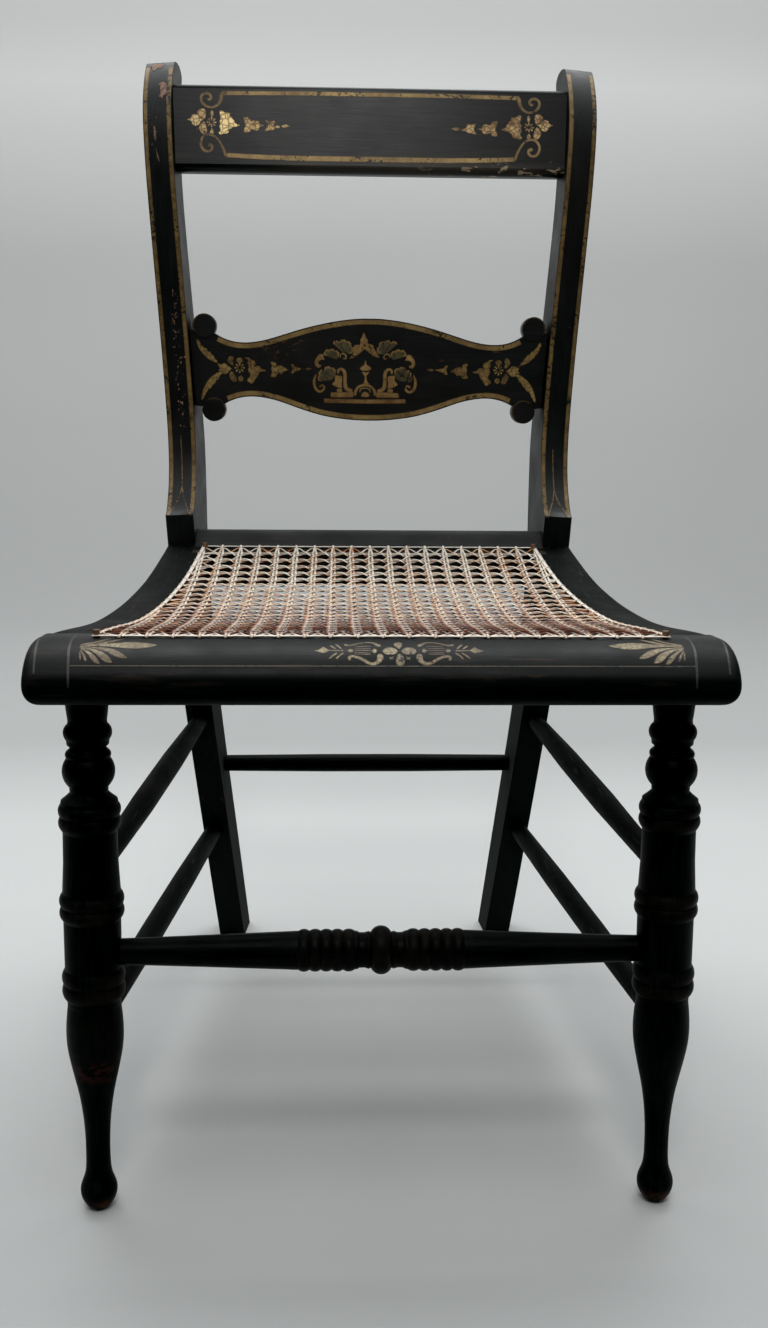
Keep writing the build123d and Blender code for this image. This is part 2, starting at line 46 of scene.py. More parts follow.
# outlines repeated from the construction, in mm (depth before the shift by YC, height)
STILE_FRONT = [(352.6, 441.2), (359.2, 445.8), (366.7, 454.3), (373.6, 463.6),
               (379.5, 474.1), (384.0, 484.8), (387.2, 495.6), (389.6, 506.6),
               (391.4, 519.6), (392.8, 539.6), (393.8, 564.6), (394.0, 594.6),
               (393.3, 634.6), (392.3, 669.6), (391.7, 699.6), (391.7, 729.6),
               (393.3, 754.6), (396.4, 776.7), (402.6, 797.7), (411.3, 813.8),
               (422.2, 827.9), (429.0, 835.0)]
SLAT_TOP = [(0.0, 617.4), (10.0, 617.2), (20.0, 616.3), (30.0, 614.9),
            (44.0, 612.2), (58.0, 608.8), (72.0, 604.7), (84.0, 600.9),
            (94.0, 598.0), (103.0, 596.1), (112.0, 595.1), (121.0, 595.4),
            (130.0, 597.3), (138.0, 600.8), (145.0, 605.0)]
SLAT_BOT = [(0.0, 525.4), (10.0, 525.6), (20.0, 526.3), (30.0, 527.4),
            (44.0, 529.9), (58.0, 533.8), (72.0, 538.5), (84.0, 542.6),
            (94.0, 545.0), (103.0, 546.3), (112.0, 546.4), (121.0, 545.0),
            (130.0, 541.8), (137.0, 537.6)]
SEAT_TOP = [(368.0, 420.9), (352.6, 416.0), (341.1, 412.4), (326.1, 408.6),
            (297.2, 401.6), (266.3, 395.4), (230.8, 390.8), (191.3, 387.6),
            (156.4, 386.6), (114.8, 387.4), (88.3, 389.6), (51.3, 393.9),
            (18.5, 397.2), (5.2, 398.1), (-6.8, 398.6), (-12.0, 398.2)]
POST_A, POST_B, POST_C, POST_Y0, POST_W = 156.8, 0.0611, -0.0956, 360.0, 25.5
DISC_R = 10.8
DISCS = [(151.2, 609.6), (143.6, 534.6)]
CANE_FRONT_Y, CANE_BACK_Y, CANE_FRONT_X, CANE_BACK_X = -5.6, 346.2, 188.5, 151.5
HOLE_INSET = 2.3
FRONT_HOLES, BACK_HOLES, SIDE_HOLES = 22, 18, 22
# stencil outlines, in millimetres on each surface: across and up (for strokes also the width).
# Left-hand motifs are mirrored; centre motifs are drawn whole.
CREST_ART = {
    "c_top_line": ("stroke",
        [(-60.2, 811.2, 3.8), (-78.2, 811.1, 3.8), (-98.1, 810.8, 3.8), (-118.1, 810.6, 3.8),
        (-130.6, 810.3, 3.8)]),
    "c_top_volute": ("stroke",
        [(-131.5, 811.7, 2.0), (-132.7, 808.8, 3.4), (-133.1, 806.3, 3.4),
        (-134.2, 802.8, 3.0), (-137.2, 799.4, 2.6), (-141.2, 797.8, 2.2), (-145.5, 798.5, 2.2),
        (-149.0, 800.8, 2.4), (-150.9, 804.2, 2.6), (-150.7, 807.4, 2.6), (-148.5, 809.5, 2.6),
        (-145.6, 810.0, 2.6), (-143.0, 808.7, 2.6), (-142.1, 806.4, 2.4), (-143.2, 804.5, 2.4),
        (-144.4, 804.8, 2.6)]),
    "c_bot_line": ("stroke",
        [(-60.4, 754.6, 4.7), (-78.2, 754.9, 4.4), (-94.0, 755.1, 4.4), (-111.8, 755.7, 4.2),
        (-128.1, 756.4, 4.0)]),
    "c_bot_volute": ("stroke",
        [(-127.9, 755.5, 1.4), (-129.3, 756.7, 2.4), (-130.3, 759.9, 2.4),
        (-131.9, 763.5, 2.2), (-134.2, 767.6, 2.0), (-136.7, 770.8, 2.0), (-139.5, 772.9, 2.0),
        (-143.7, 774.0, 2.2), (-147.5, 773.0, 2.4), (-150.2, 770.1, 2.6), (-151.1, 766.2, 2.6),
        (-149.7, 762.1, 2.6), (-147.0, 759.7, 2.6), (-143.6, 759.7, 2.6), (-141.2, 762.0, 2.6),
        (-141.4, 764.6, 2.4), (-143.6, 765.3, 3.4)]),
    "c_pal_top": ("smooth",
        [(-154.4, 793.5), (-151.9, 796.2), (-147.9, 796.4), (-146.7, 793.1), (-147.3, 788.4),
        (-148.8, 787.4), (-152.8, 790.7)]),
    "c_pal_out": ("smooth",
        [(-163.2, 786.9), (-160.3, 788.2), (-158.8, 790.8), (-155.8, 791.7), (-152.8, 790.5),
        (-151.0, 787.8), (-148.8, 787.2), (-151.0, 785.5), (-152.7, 782.6), (-155.7, 781.2),
        (-158.2, 782.5), (-159.9, 785.3)]),
    "c_pal_bot": ("smooth",
        [(-148.8, 785.5), (-147.1, 783.6), (-146.3, 781.3), (-145.5, 776.6), (-147.7, 774.2),
        (-150.7, 775.6), (-152.7, 779.3), (-151.7, 782.6)]),
    "c_star": ("star",
        [(-141.6, 784.9, 4.5)]),
    "c_petal_up": ("smooth",
        [(-141.4, 795.4), (-139.7, 792.7), (-141.1, 789.1), (-142.9, 792.5)]),
    "c_petal_dn": ("smooth",
        [(-141.6, 779.5), (-139.4, 777.2), (-140.5, 774.3), (-143.3, 775.7)]),
    "c_leaf1": ("sharp",
        [(-135.0, 794.9), (-132.4, 795.4), (-130.0, 793.4), (-127.0, 793.6), (-124.8, 792.8),
        (-125.4, 790.6), (-123.2, 789.4), (-123.4, 788.3), (-121.3, 786.6), (-120.7, 784.5),
        (-116.2, 782.5), (-120.7, 780.9), (-122.4, 780.9), (-123.9, 779.8), (-125.9, 778.8),
        (-126.6, 775.9), (-129.3, 774.5), (-130.8, 775.4), (-132.8, 773.8), (-135.5, 774.9),
        (-134.8, 777.2), (-133.3, 778.2), (-134.8, 780.5), (-134.3, 783.4), (-135.1, 786.2),
        (-133.4, 788.1), (-134.4, 790.9)]),
    "c_leaf2": ("sharp",
        [(-113.5, 790.0), (-109.0, 789.6), (-107.4, 787.6), (-107.0, 786.1), (-104.0, 787.1),
        (-100.1, 786.7), (-99.1, 783.9), (-94.9, 782.7), (-99.1, 781.1), (-100.0, 778.4),
        (-103.8, 778.0), (-106.8, 779.5), (-107.5, 777.2), (-110.5, 776.2), (-113.4, 776.6),
        (-112.8, 779.9), (-111.4, 782.8), (-112.8, 786.5)]),
    "c_leaf3": ("sharp",
        [(-94.3, 787.8), (-91.1, 786.4), (-86.1, 787.1), (-85.1, 785.1), (-85.0, 783.4),
        (-81.0, 782.3), (-81.4, 780.6), (-84.9, 780.6), (-86.4, 778.9), (-90.6, 778.6),
        (-93.9, 777.6), (-94.6, 778.5), (-91.9, 782.6)]),
    "c_dash": ("smooth",
        [(-79.7, 782.3), (-77.7, 783.7), (-75.2, 783.8), (-72.0, 782.5), (-75.2, 781.1),
        (-77.7, 781.0)]),
}
SLAT_ART = {
    "s_arc_up": ("sharp",
        [(-158.1, 597.9), (-155.6, 595.7), (-154.4, 592.4), (-152.8, 592.0), (-151.7, 589.7),
        (-149.7, 589.8), (-148.2, 586.8), (-146.2, 586.5), (-144.5, 583.8), (-143.1, 583.3),
        (-141.8, 580.4), (-139.2, 577.7), (-140.8, 576.8), (-143.3, 577.5), (-146.3, 578.8),
        (-149.3, 580.8), (-152.2, 583.8), (-155.2, 587.2), (-157.2, 591.2), (-158.6, 594.6)]),
    "s_arc_dn": ("sharp",
        [(-135.1, 569.1), (-135.9, 566.4), (-137.9, 564.7), (-139.1, 561.5), (-141.0, 561.1),
        (-142.5, 557.5), (-144.5, 556.5), (-146.6, 553.2), (-148.3, 553.0), (-150.2, 549.7),
        (-151.7, 547.1), (-153.3, 544.1), (-155.3, 542.9), (-154.8, 547.1), (-153.8, 551.2),
        (-152.1, 555.2), (-150.0, 559.2), (-147.0, 562.8), (-143.4, 565.8), (-139.9, 568.1)]),
    "s_bud": ("smooth",
        [(-140.2, 577.0), (-136.8, 575.2), (-133.8, 576.4), (-131.2, 575.4), (-129.2, 573.5),
        (-126.9, 571.5), (-129.3, 568.9), (-131.8, 566.6), (-135.1, 566.8), (-136.0, 569.2),
        (-139.5, 569.4), (-137.8, 571.4), (-138.6, 573.9)]),
    "s_pet_ul": ("smooth",
        [(-130.5, 578.3), (-129.5, 581.7), (-126.6, 583.3), (-124.9, 581.0), (-125.5, 577.5),
        (-124.9, 574.5), (-126.9, 574.2), (-128.7, 576.3)]),
    "s_pet_ll": ("smooth",
        [(-129.0, 566.4), (-126.6, 569.3), (-124.6, 566.7), (-123.0, 564.0), (-122.4, 560.5),
        (-125.3, 559.6), (-128.0, 562.2)]),
    "s_dot_up": ("smooth",
        [(-119.4, 581.6), (-116.9, 580.6), (-116.8, 578.0), (-119.4, 576.6), (-122.0, 577.7),
        (-122.0, 580.5)]),
    "s_dot_dn": ("smooth",
        [(-118.5, 565.3), (-116.5, 564.1), (-116.3, 561.3), (-118.6, 559.9), (-120.8, 561.1),
        (-120.8, 564.1)]),
    "s_star": ("star",
        [(-119.5, 572.3, 4.8)]),
    "s_leaf1": ("sharp",
        [(-115.1, 581.6), (-111.0, 581.8), (-108.5, 579.7), (-105.3, 578.4), (-104.8, 575.2),
        (-106.8, 573.5), (-103.3, 574.4), (-100.3, 573.5), (-99.8, 571.7), (-94.6, 570.7),
        (-96.4, 569.1), (-100.5, 569.1), (-101.8, 567.5), (-102.8, 564.6), (-105.4, 562.1),
        (-106.4, 559.6), (-108.6, 557.7), (-112.9, 560.5), (-112.4, 562.8), (-110.0, 564.6),
        (-110.4, 567.6), (-112.0, 570.1), (-111.0, 573.6), (-112.4, 576.6), (-111.3, 579.1)]),
    "s_leaf2": ("sharp",
        [(-91.5, 577.5), (-89.3, 578.2), (-86.1, 577.1), (-85.6, 574.3), (-82.2, 575.1),
        (-79.0, 573.6), (-74.3, 570.6), (-79.0, 569.2), (-81.0, 566.8), (-84.6, 567.6),
        (-85.6, 564.8), (-89.3, 563.9), (-91.6, 564.7), (-89.7, 568.8), (-90.7, 571.8),
        (-89.7, 574.8)]),
    "s_leaf3": ("sharp",
        [(-72.7, 576.4), (-69.8, 576.0), (-68.8, 574.0), (-64.9, 573.0), (-60.0, 572.1),
        (-64.9, 570.4), (-68.8, 569.3), (-70.3, 567.5), (-72.8, 567.7), (-70.9, 572.0)]),
    "s_dash": ("smooth",
        [(-59.5, 571.8), (-57.8, 572.9), (-55.2, 573.1), (-53.3, 572.2), (-55.2, 571.1),
        (-57.8, 570.7)]),
    "m_curl": ("stroke",
        [(-27.2, 583.0, 1.3), (-26.6, 585.0, 1.6), (-24.6, 585.9, 1.8), (-22.4, 585.0, 1.8),
        (-21.5, 583.0, 1.6), (-22.4, 581.4, 1.4), (-23.9, 581.7, 1.3)]),
    "m_foot": ("stroke",
        [(-49.3, 566.8, 1.5), (-50.9, 562.2, 2.5), (-50.6, 556.8, 2.8), (-48.5, 553.0, 2.8),
        (-45.4, 551.7, 2.5), (-42.6, 553.3, 2.3), (-41.8, 555.9, 2.0), (-43.9, 557.4, 1.8),
        (-45.7, 556.1, 2.2)]),
    "m_brk": ("smooth",
        [(-31.7, 566.9), (-29.6, 566.3), (-25.9, 565.9), (-25.0, 562.9), (-25.5, 558.6),
        (-25.0, 555.1), (-26.4, 554.7), (-30.4, 555.8), (-33.7, 557.4), (-34.6, 558.9),
        (-32.2, 561.3), (-31.9, 564.2)]),
    "m_supp": ("stroke",
        [(-28.9, 568.8, 2.2), (-28.9, 570.8, 2.4), (-26.9, 572.1, 2.7), (-24.5, 571.3, 3.1),
        (-23.0, 568.8, 3.3), (-22.6, 565.0, 3.5), (-22.6, 560.4, 3.5), (-22.2, 556.8, 3.8),
        (-20.7, 554.0, 3.8), (-17.0, 552.6, 3.3)]),
    "m_block": ("smooth",
        [(-30.1, 554.0), (-27.9, 554.7), (-25.5, 554.0), (-25.3, 551.6), (-27.9, 551.0),
        (-30.1, 551.6)]),
    "m_bar1": ("sharp",
        [(-35.9, 550.8), (-14.7, 551.7), (-14.6, 546.5), (-35.9, 546.4)]),
    "m_bar2": ("sharp",
        [(-42.1, 545.4), (-4.1, 544.8), (-4.1, 540.9), (-42.1, 541.4)]),
    "m_ped": ("sharp",
        [(-5.7, 605.8), (-4.3, 603.3), (-3.4, 600.6), (-1.5, 598.6), (-1.8, 595.4),
        (2.1, 594.3), (3.6, 593.8), (4.0, 590.9), (6.0, 588.0), (8.2, 584.6), (9.8, 582.6),
        (6.8, 582.6), (3.1, 584.2), (-0.6, 587.0), (-4.7, 590.3), (-8.0, 587.1),
        (-11.7, 584.4), (-15.4, 581.9), (-18.9, 581.6), (-16.3, 584.6), (-14.8, 587.3),
        (-15.6, 590.5), (-14.4, 593.4), (-11.3, 594.5), (-9.7, 593.5), (-8.4, 596.2),
        (-9.1, 598.5), (-7.4, 600.6), (-6.6, 603.3)]),
    "m_urn_top": ("smooth",
        [(-9.0, 572.9), (-7.0, 575.0), (-5.0, 576.3), (-4.2, 579.3), (-3.7, 580.2),
        (-3.1, 579.0), (-2.4, 576.3), (-0.3, 575.0), (1.7, 573.0), (-0.1, 571.2),
        (-3.6, 570.6), (-7.1, 571.1)]),
    "m_urn_bot": ("smooth",
        [(-6.9, 569.9), (-3.6, 569.3), (-0.1, 569.9), (-1.4, 567.4), (-2.5, 566.4),
        (-2.4, 563.3), (-1.5, 560.4), (0.4, 558.8), (-3.5, 558.4), (-7.0, 558.7),
        (-5.4, 560.4), (-4.6, 563.3), (-4.9, 566.4), (-5.8, 567.4)]),
    "m_arch": ("stroke",
        [(-13.2, 549.1, 2.7), (-12.5, 552.6, 2.7), (-10.0, 556.1, 2.7), (-5.9, 557.6, 2.5),
        (-1.7, 557.6, 2.5), (2.1, 555.8, 2.5), (4.6, 552.7, 2.7), (5.3, 549.2, 2.7)]),
    "m_arch_in": ("stroke",
        [(-8.8, 551.4, 1.1), (-8.3, 553.7, 1.3), (-5.9, 554.9, 1.3), (-2.2, 554.9, 1.3),
        (0.1, 553.8, 1.3), (0.7, 551.4, 1.1)]),
    "m_shell": ("smooth",
        [(-7.2, 547.2), (-6.6, 550.6), (-4.2, 551.8), (-1.2, 550.7), (-0.4, 547.3)]),
    "m_hook": ("smooth",
        [(-42.4, 585.0), (-45.8, 585.4), (-48.9, 582.4), (-50.6, 578.5), (-50.1, 575.2),
        (-47.8, 573.0), (-45.5, 573.5), (-44.4, 575.3), (-46.8, 576.5), (-46.8, 578.6),
        (-44.2, 580.1), (-41.3, 580.1), (-42.2, 582.7)]),
}
ROLL_ART = {
    "r_arrow": ("sharp",
        [(-44.5, 150.2), (-41.5, 151.4), (-38.7, 154.4), (-35.2, 151.1), (-26.1, 151.1),
        (-26.1, 149.7), (-35.1, 150.1), (-38.3, 147.7), (-41.4, 149.0)]),
    "r_l1": ("smooth",
        [(-34.9, 155.7), (-33.1, 155.6), (-30.7, 152.5), (-31.2, 151.8), (-33.6, 153.8)]),
    "r_l2": ("smooth",
        [(-31.3, 157.1), (-29.5, 156.6), (-27.0, 152.8), (-27.6, 151.8), (-29.8, 154.5)]),
    "r_l3": ("smooth",
        [(-35.2, 143.4), (-33.2, 146.2), (-30.4, 148.5), (-30.0, 147.4), (-32.5, 145.0),
        (-34.3, 143.1)]),
    "r_l4": ("smooth",
        [(-31.0, 142.9), (-29.3, 145.7), (-26.4, 148.5), (-25.9, 147.4), (-28.2, 145.0),
        (-30.0, 142.7)]),
    "r_dot": ("smooth",
        [(-23.2, 150.4), (-22.3, 151.8), (-20.5, 151.8), (-19.8, 150.4), (-20.5, 148.9),
        (-22.3, 148.9)]),
    "r_s_up": ("stroke",
        [(-24.7, 156.5, 2.2), (-22.4, 156.1, 1.7), (-19.6, 156.8, 1.5), (-16.0, 158.5, 1.3),
        (-11.4, 159.7, 1.5), (-7.3, 159.1, 1.7), (-4.9, 157.0, 2.4), (-3.6, 155.9, 3.1)]),
    "r_s_dn": ("stroke",
        [(-22.1, 142.4, 1.8), (-22.3, 144.3, 2.2), (-20.3, 145.2, 2.2), (-17.1, 144.2, 2.4),
        (-13.7, 142.2, 2.4), (-10.4, 139.8, 2.4), (-7.1, 139.1, 2.6), (-4.2, 140.8, 3.1),
        (-3.1, 143.1, 4.1), (-3.0, 145.5, 4.1)]),
    "r_str0": ("stroke",
        [(-18.0, 154.8, 0.5), (-12.9, 155.0, 0.7), (-7.8, 154.9, 0.5)]),
    "r_str1": ("stroke",
        [(-19.1, 152.8, 0.5), (-14.0, 152.8, 0.7), (-8.9, 152.5, 0.5)]),
    "r_str2": ("stroke",
        [(-19.2, 150.7, 0.5), (-13.5, 150.7, 0.7), (-7.9, 150.2, 0.5)]),
    "r_str3": ("stroke",
        [(-19.1, 148.4, 0.5), (-14.0, 148.4, 0.7), (-9.0, 148.0, 0.5)]),
    "r_str4": ("stroke",
        [(-18.9, 147.1, 0.5), (-14.0, 147.1, 0.7), (-9.2, 146.8, 0.5)]),
    "r_dia": ("smooth",
        [(-8.0, 150.2), (-6.2, 152.5), (-4.8, 150.2), (-6.3, 148.0)]),
    "r_f_l": ("smooth",
        [(-1.4, 149.9), (0.8, 153.1), (4.0, 153.8), (6.7, 152.5), (8.2, 149.7), (6.3, 147.1),
        (3.4, 146.7), (0.4, 147.1)]),
    "r_f_t": ("smooth",
        [(5.9, 157.3), (7.1, 159.4), (9.7, 160.0), (11.4, 158.3), (10.9, 154.9), (9.4, 152.1),
        (8.0, 153.5), (6.8, 154.9)]),
    "r_f_r": ("smooth",
        [(10.2, 150.1), (12.6, 151.8), (14.9, 153.4), (17.6, 154.1), (19.5, 151.8),
        (19.2, 148.3), (17.1, 146.7), (14.6, 146.9), (12.1, 147.7)]),
    "r_f_b": ("smooth",
        [(9.1, 147.7), (11.2, 145.5), (12.5, 142.2), (11.9, 138.9), (9.7, 137.4), (7.6, 138.0),
        (6.8, 140.8), (7.4, 144.8)]),
    "r_x1": ("smooth",
        [(2.5, 144.8), (3.9, 144.3), (5.6, 145.2), (5.0, 143.6), (5.7, 142.2), (4.1, 142.7),
        (2.7, 141.9), (3.2, 143.4)]),
    "r_dot2": ("smooth",
        [(21.8, 150.7), (22.8, 152.1), (24.1, 152.1), (24.7, 150.7), (23.9, 149.4),
        (22.7, 149.4)]),
    "f_top": ("smooth",
        [(-191.3, 157.0), (-183.3, 160.4), (-176.4, 165.0), (-173.5, 166.8), (-175.9, 162.9),
        (-182.9, 158.3), (-190.2, 155.9)]),
    "f_top2": ("smooth",
        [(-190.9, 156.0), (-181.2, 158.2), (-171.2, 163.0), (-165.6, 165.8), (-168.5, 162.0),
        (-177.8, 157.0), (-190.0, 155.0)]),
    "f_main": ("smooth",
        [(-191.3, 154.4), (-182.4, 156.5), (-173.2, 157.8), (-162.5, 159.6), (-154.4, 159.2),
        (-143.7, 156.0), (-151.6, 152.5), (-161.0, 152.2), (-170.6, 153.6), (-182.0, 154.7),
        (-190.4, 153.5)]),
    "f_3": ("smooth",
        [(-190.8, 153.5), (-181.8, 153.8), (-173.6, 152.6), (-167.7, 150.1), (-160.9, 143.9),
        (-165.2, 143.6), (-170.2, 146.0), (-176.2, 149.8), (-184.0, 152.7), (-190.4, 152.6)]),
    "f_4": ("smooth",
        [(-190.6, 152.9), (-184.7, 152.5), (-178.6, 150.0), (-173.3, 146.1), (-169.6, 140.0),
        (-173.2, 140.0), (-176.6, 142.5), (-180.4, 146.8), (-185.1, 150.5), (-190.2, 151.8)]),
    "f_5": ("smooth",
        [(-190.6, 152.0), (-186.6, 150.4), (-182.4, 147.0), (-179.4, 143.3), (-177.1, 139.1),
        (-179.9, 139.3), (-182.7, 142.3), (-185.3, 146.3), (-187.9, 149.2), (-190.4, 151.2)]),
    "f_6": ("smooth",
        [(-190.5, 150.9), (-188.4, 148.0), (-186.5, 144.8), (-185.4, 141.2), (-186.6, 141.2),
        (-187.8, 143.8), (-189.1, 146.9), (-190.5, 149.7)]),
    "f_7": ("smooth",
        [(-190.7, 149.4), (-189.8, 146.9), (-189.1, 143.4), (-189.4, 141.6), (-190.3, 143.4),
        (-190.8, 146.9)]),
    "e_stripe1": ("stroke",
        [(-199.2, 173.0, 1.1), (-198.5, 160.3, 1.4), (-198.1, 152.9, 1.6),
        (-197.2, 145.4, 1.6), (-196.3, 137.4, 1.6), (-195.7, 128.9, 1.4), (-195.5, 123.8, 1.3)]),
    "e_stripe2": ("stroke",
        [(-220.0, 163.8, 1.3), (-218.9, 155.1, 1.4), (-218.1, 147.6, 1.4),
        (-217.4, 139.3, 1.3), (-216.9, 132.1, 1.1)]),
}
# scalloped shells of the slat: the point the pleats run to, and the notches along the rim
FANS = {
    "fan_top": ((-22.0, 584.7), [(-34.1, 595.0), (-27.8, 596.5), (-21.1, 597.2), (-16.9, 592.8), (-16.6, 586.0)]),
    "fan_mid": ((-29.0, 580.3), [(-41.1, 584.0), (-41.4, 587.8), (-37.0, 589.2), (-32.0, 588.8), (-28.0, 584.6)]),
    "fan_low": ((-33.3, 562.3), [(-45.7, 560.7), (-47.1, 565.8), (-42.1, 571.7), (-35.4, 573.4), (-31.2, 568.8)]),
}

# ---------------------------------------------------------------------------
# small helpers
# ---------------------------------------------------------------------------
def catmull(pts, closed, step):
    """Smooth line through points (any number of columns), resampled about every step mm."""
    P = [np.array(p, float) for p in pts]
    n = len(P)
    out = []
    spans = n if closed else n - 1
    for i in range(spans):
        p1, p2 = P[i], P[(i + 1) % n]
        p0 = P[i - 1] if (closed or i > 0) else 2 * p1 - p2
        p3 = P[(i + 2) % n] if (closed or i + 2 < n) else 2 * p2 - p1
        m = max(1, int(math.ceil(np.linalg.norm((p2 - p1)[:2]) / step)))
        for k in range(m):
            t = k / m
            out.append(0.5 * (2 * p1 + (p2 - p0) * t + (2 * p0 - 5 * p1 + 4 * p2 - p3) * t * t
                              + (3 * p1 - p0 - 3 * p2 + p3) * t ** 3))
    if not closed:
        out.append(P[-1])
    return out


def even(pts, closed, step):
    """Straight-sided line resampled about every step mm, corners kept."""
    P = [np.array(p, float) for p in pts]
    n = len(P)
    out = []
    for i in range(n if closed else n - 1):
        a, b = P[i], P[(i + 1) % n]
        m = max(1, int(math.ceil(np.linalg.norm((b - a)[:2]) / step)))
        out += [a + (b - a) * k / m for k in range(m)]
    if not closed:
        out.append(P[-1])
    return out


def ribbon_outline(line, ends="round"):
    """Closed outline of a stroke; line is a list of (x, z, width)."""
    L = np.array(line, float)
    d = np.gradient(L[:, :2], axis=0)
    d /= np.maximum(np.linalg.norm(d, axis=1), 1e-9)[:, None]
    n = np.stack([-d[:, 1], d[:, 0]], 1)
    w = L[:, 2:3] / 2
    left, right = L[:, :2] + n * w, L[:, :2] - n * w
    out = list(left)
    if ends == "round":
        for a in (0.35, 0.7):
            c, s = math.cos(a * math.pi / 1.05), math.sin(a * math.pi / 1.05)
            out.append(L[-1, :2] + n[-1] * w[-1] * c + d[-1] * w[-1] * s)
    out += list(right[::-1])
    if ends == "round":
        for a in (0.35, 0.7):
            c, s = math.cos(a * math.pi / 1.05), math.sin(a * math.pi / 1.05)
            out.append(L[0, :2] - n[0] * w[0] * c - d[0] * w[0] * s)
    return out


def outlines_of(kind, pts):
    """The closed outlines, in mm, of one entry of the tables."""
    if kind == "smooth":
        return [catmull(pts, True, 0.55)]
    if kind == "sharp":
        # lobes stay crisp at the notches but not faceted
        p = even(pts, True, 0.55)
        q = np.array(p)
        for _ in range(2):
            q = (q + 0.5 * (np.roll(q, 1, 0) + np.roll(q, -1, 0))) / 2
        return [list(q)]
    if kind == "stroke":
        return [ribbon_outline(catmull(pts, False, 0.7))]
    if kind == "star":
        x, z, r = pts[0]
        res = []
        for k in range(8):
            a = k * math.pi / 4
            ca, sa = math.cos(a), math.sin(a)
            petal = [(0.24, 0.0), (0.55, 0.13), (0.88, 0.17), (1.0, 0.0), (0.88, -0.17), (0.55, -0.13)]
            res.append(catmull([(x + r * (u * ca - v * sa), z + r * (u * sa + v * ca))
                                for u, v in petal], True, 0.4))
        return res
    raise ValueError(kind)


def fan_petals(base, notches, bulge=0.30, gap=0.16):
    """Wedges of a scalloped shell, each with the arc along its rim."""
    B = np.array(base, float)
    res = []
    for p, q in zip(notches, notches[1:]):
        p, q = np.array(p, float), np.array(q, float)
        d = q - p
        n = np.array([-d[1], d[0]])
        if np.dot(n, (p + q) / 2 - B) < 0:
            n = -n
        c = np.linalg.norm(d)
        p2, q2 = p + d / c * gap, q - d / c * gap
        arc = [p2 + (q2 - p2) * t + n * bulge * 4 * t * (1 - t) * (1 - 0.25 * math.cos(math.tau * 2 * t))
               for t in np.linspace(0, 1, 13)]
        m = (p + q) / 2 - B
        m /= np.linalg.norm(m)
        side = np.array([-m[1], m[0]]) * gap
        if np.dot(side, q - p) < 0:
            side = -side
        foot = [B + m * 1.3 + side * 0.8, B + m * 1.3 - side * 0.8]
        loop = even(arc + foot, True, 0.55)
        res.append((loop, arc))
    return res


def mirrored(outline, about=0.0):
    return [np.array((2 * about - p[0], p[1])) for p in reversed(outline)]


def seg_distance(P, loop):
    """Distance of each point of P to a closed loop."""
    A = np.array(loop, float)[:, :2]
    B = np.roll(A, -1, 0)
    best = np.full(len(P), 1e9)
    for i in range(0, len(A), 256):
        a, b = A[i:i + 256], B[i:i + 256]
        ab = b - a
        t = ((P[:, None, :] - a[None]) * ab[None]).sum(2) / np.maximum((ab * ab).sum(1), 1e-12)[None]
        q = a[None] + np.clip(t, 0, 1)[..., None] * ab[None]
        best = np.minimum(best, np.linalg.norm(P[:, None, :] - q, axis=2).min(1))
    return best


def inside(P, loop):
    A = np.array(loop, float)[:, :2]
    B = np.roll(A, -1, 0)
    res = np.zeros(len(P), bool)
    for (x0, y0), (x1, y1) in zip(A, B):
        if y0 == y1:
            continue
        c = ((y0 > P[:, 1]) != (y1 > P[:, 1])) & (
            P[:, 0] < (x1 - x0) * (P[:, 1] - y0) / (y1 - y0) + x0)
        res ^= c
    return res


def fill(loop, grid):
    """Points and triangles that fill a closed loop, with the loop first."""
    L = [tuple(p[:2]) for p in loop]
    clean = [L[0]]
    for p in L[1:]:
        if math.dist(p, clean[-1]) > 0.08:
            clean.append(p)
    if math.dist(clean[0], clean[-1]) < 0.08:
        clean.pop()
    A = np.array(clean)
    lo, hi = A.min(0), A.max(0)
    gx = np.arange(lo[0] + grid / 2, hi[0], grid)
    gz = np.arange(lo[1] + grid / 2, hi[1], grid * 0.87)
    pts = [(x + (grid / 2 if j % 2 else 0), z) for j, z in enumerate(gz) for x in gx]
    P = np.array(pts).reshape(-1, 2)
    if len(P):
        keep = inside(P, A)
        P = P[keep]
        if len(P):
            P = P[seg_distance(P, A) > grid * 0.45]
    verts = [Vector((float(x), float(z))) for x, z in list(A) + list(P)]
    n = len(A)
    res = geometry.delaunay_2d_cdt(verts, [(i, (i + 1) % n) for i in range(n)], [], 1, 1e-6)
    V = np.array([(v.x, v.y) for v in res[0]])
    F = [tuple(f) for f in res[2] if len(f) == 3]
    return V, F, A


TREES = {}


def tree_of(node):
    if node not in TREES:
        me = NODES[node].data
        TREES[node] = BVHTree.FromPolygons([v.co[:] for v in me.vertices],
                                           [p.vertices[:] for p in me.polygons])
    return TREES[node]


C40, S40 = math.cos(math.radians(40)), math.sin(math.radians(40))
RAY_FRONT = (Vector((0, 1, 0)), lambda u, v: Vector((u, -700, v)))
RAY_ROLL = (Vector((0, C40, -S40)),
            lambda u, v: Vector((u, v * S40 - 500 * C40, v * C40 + 500 * S40)))


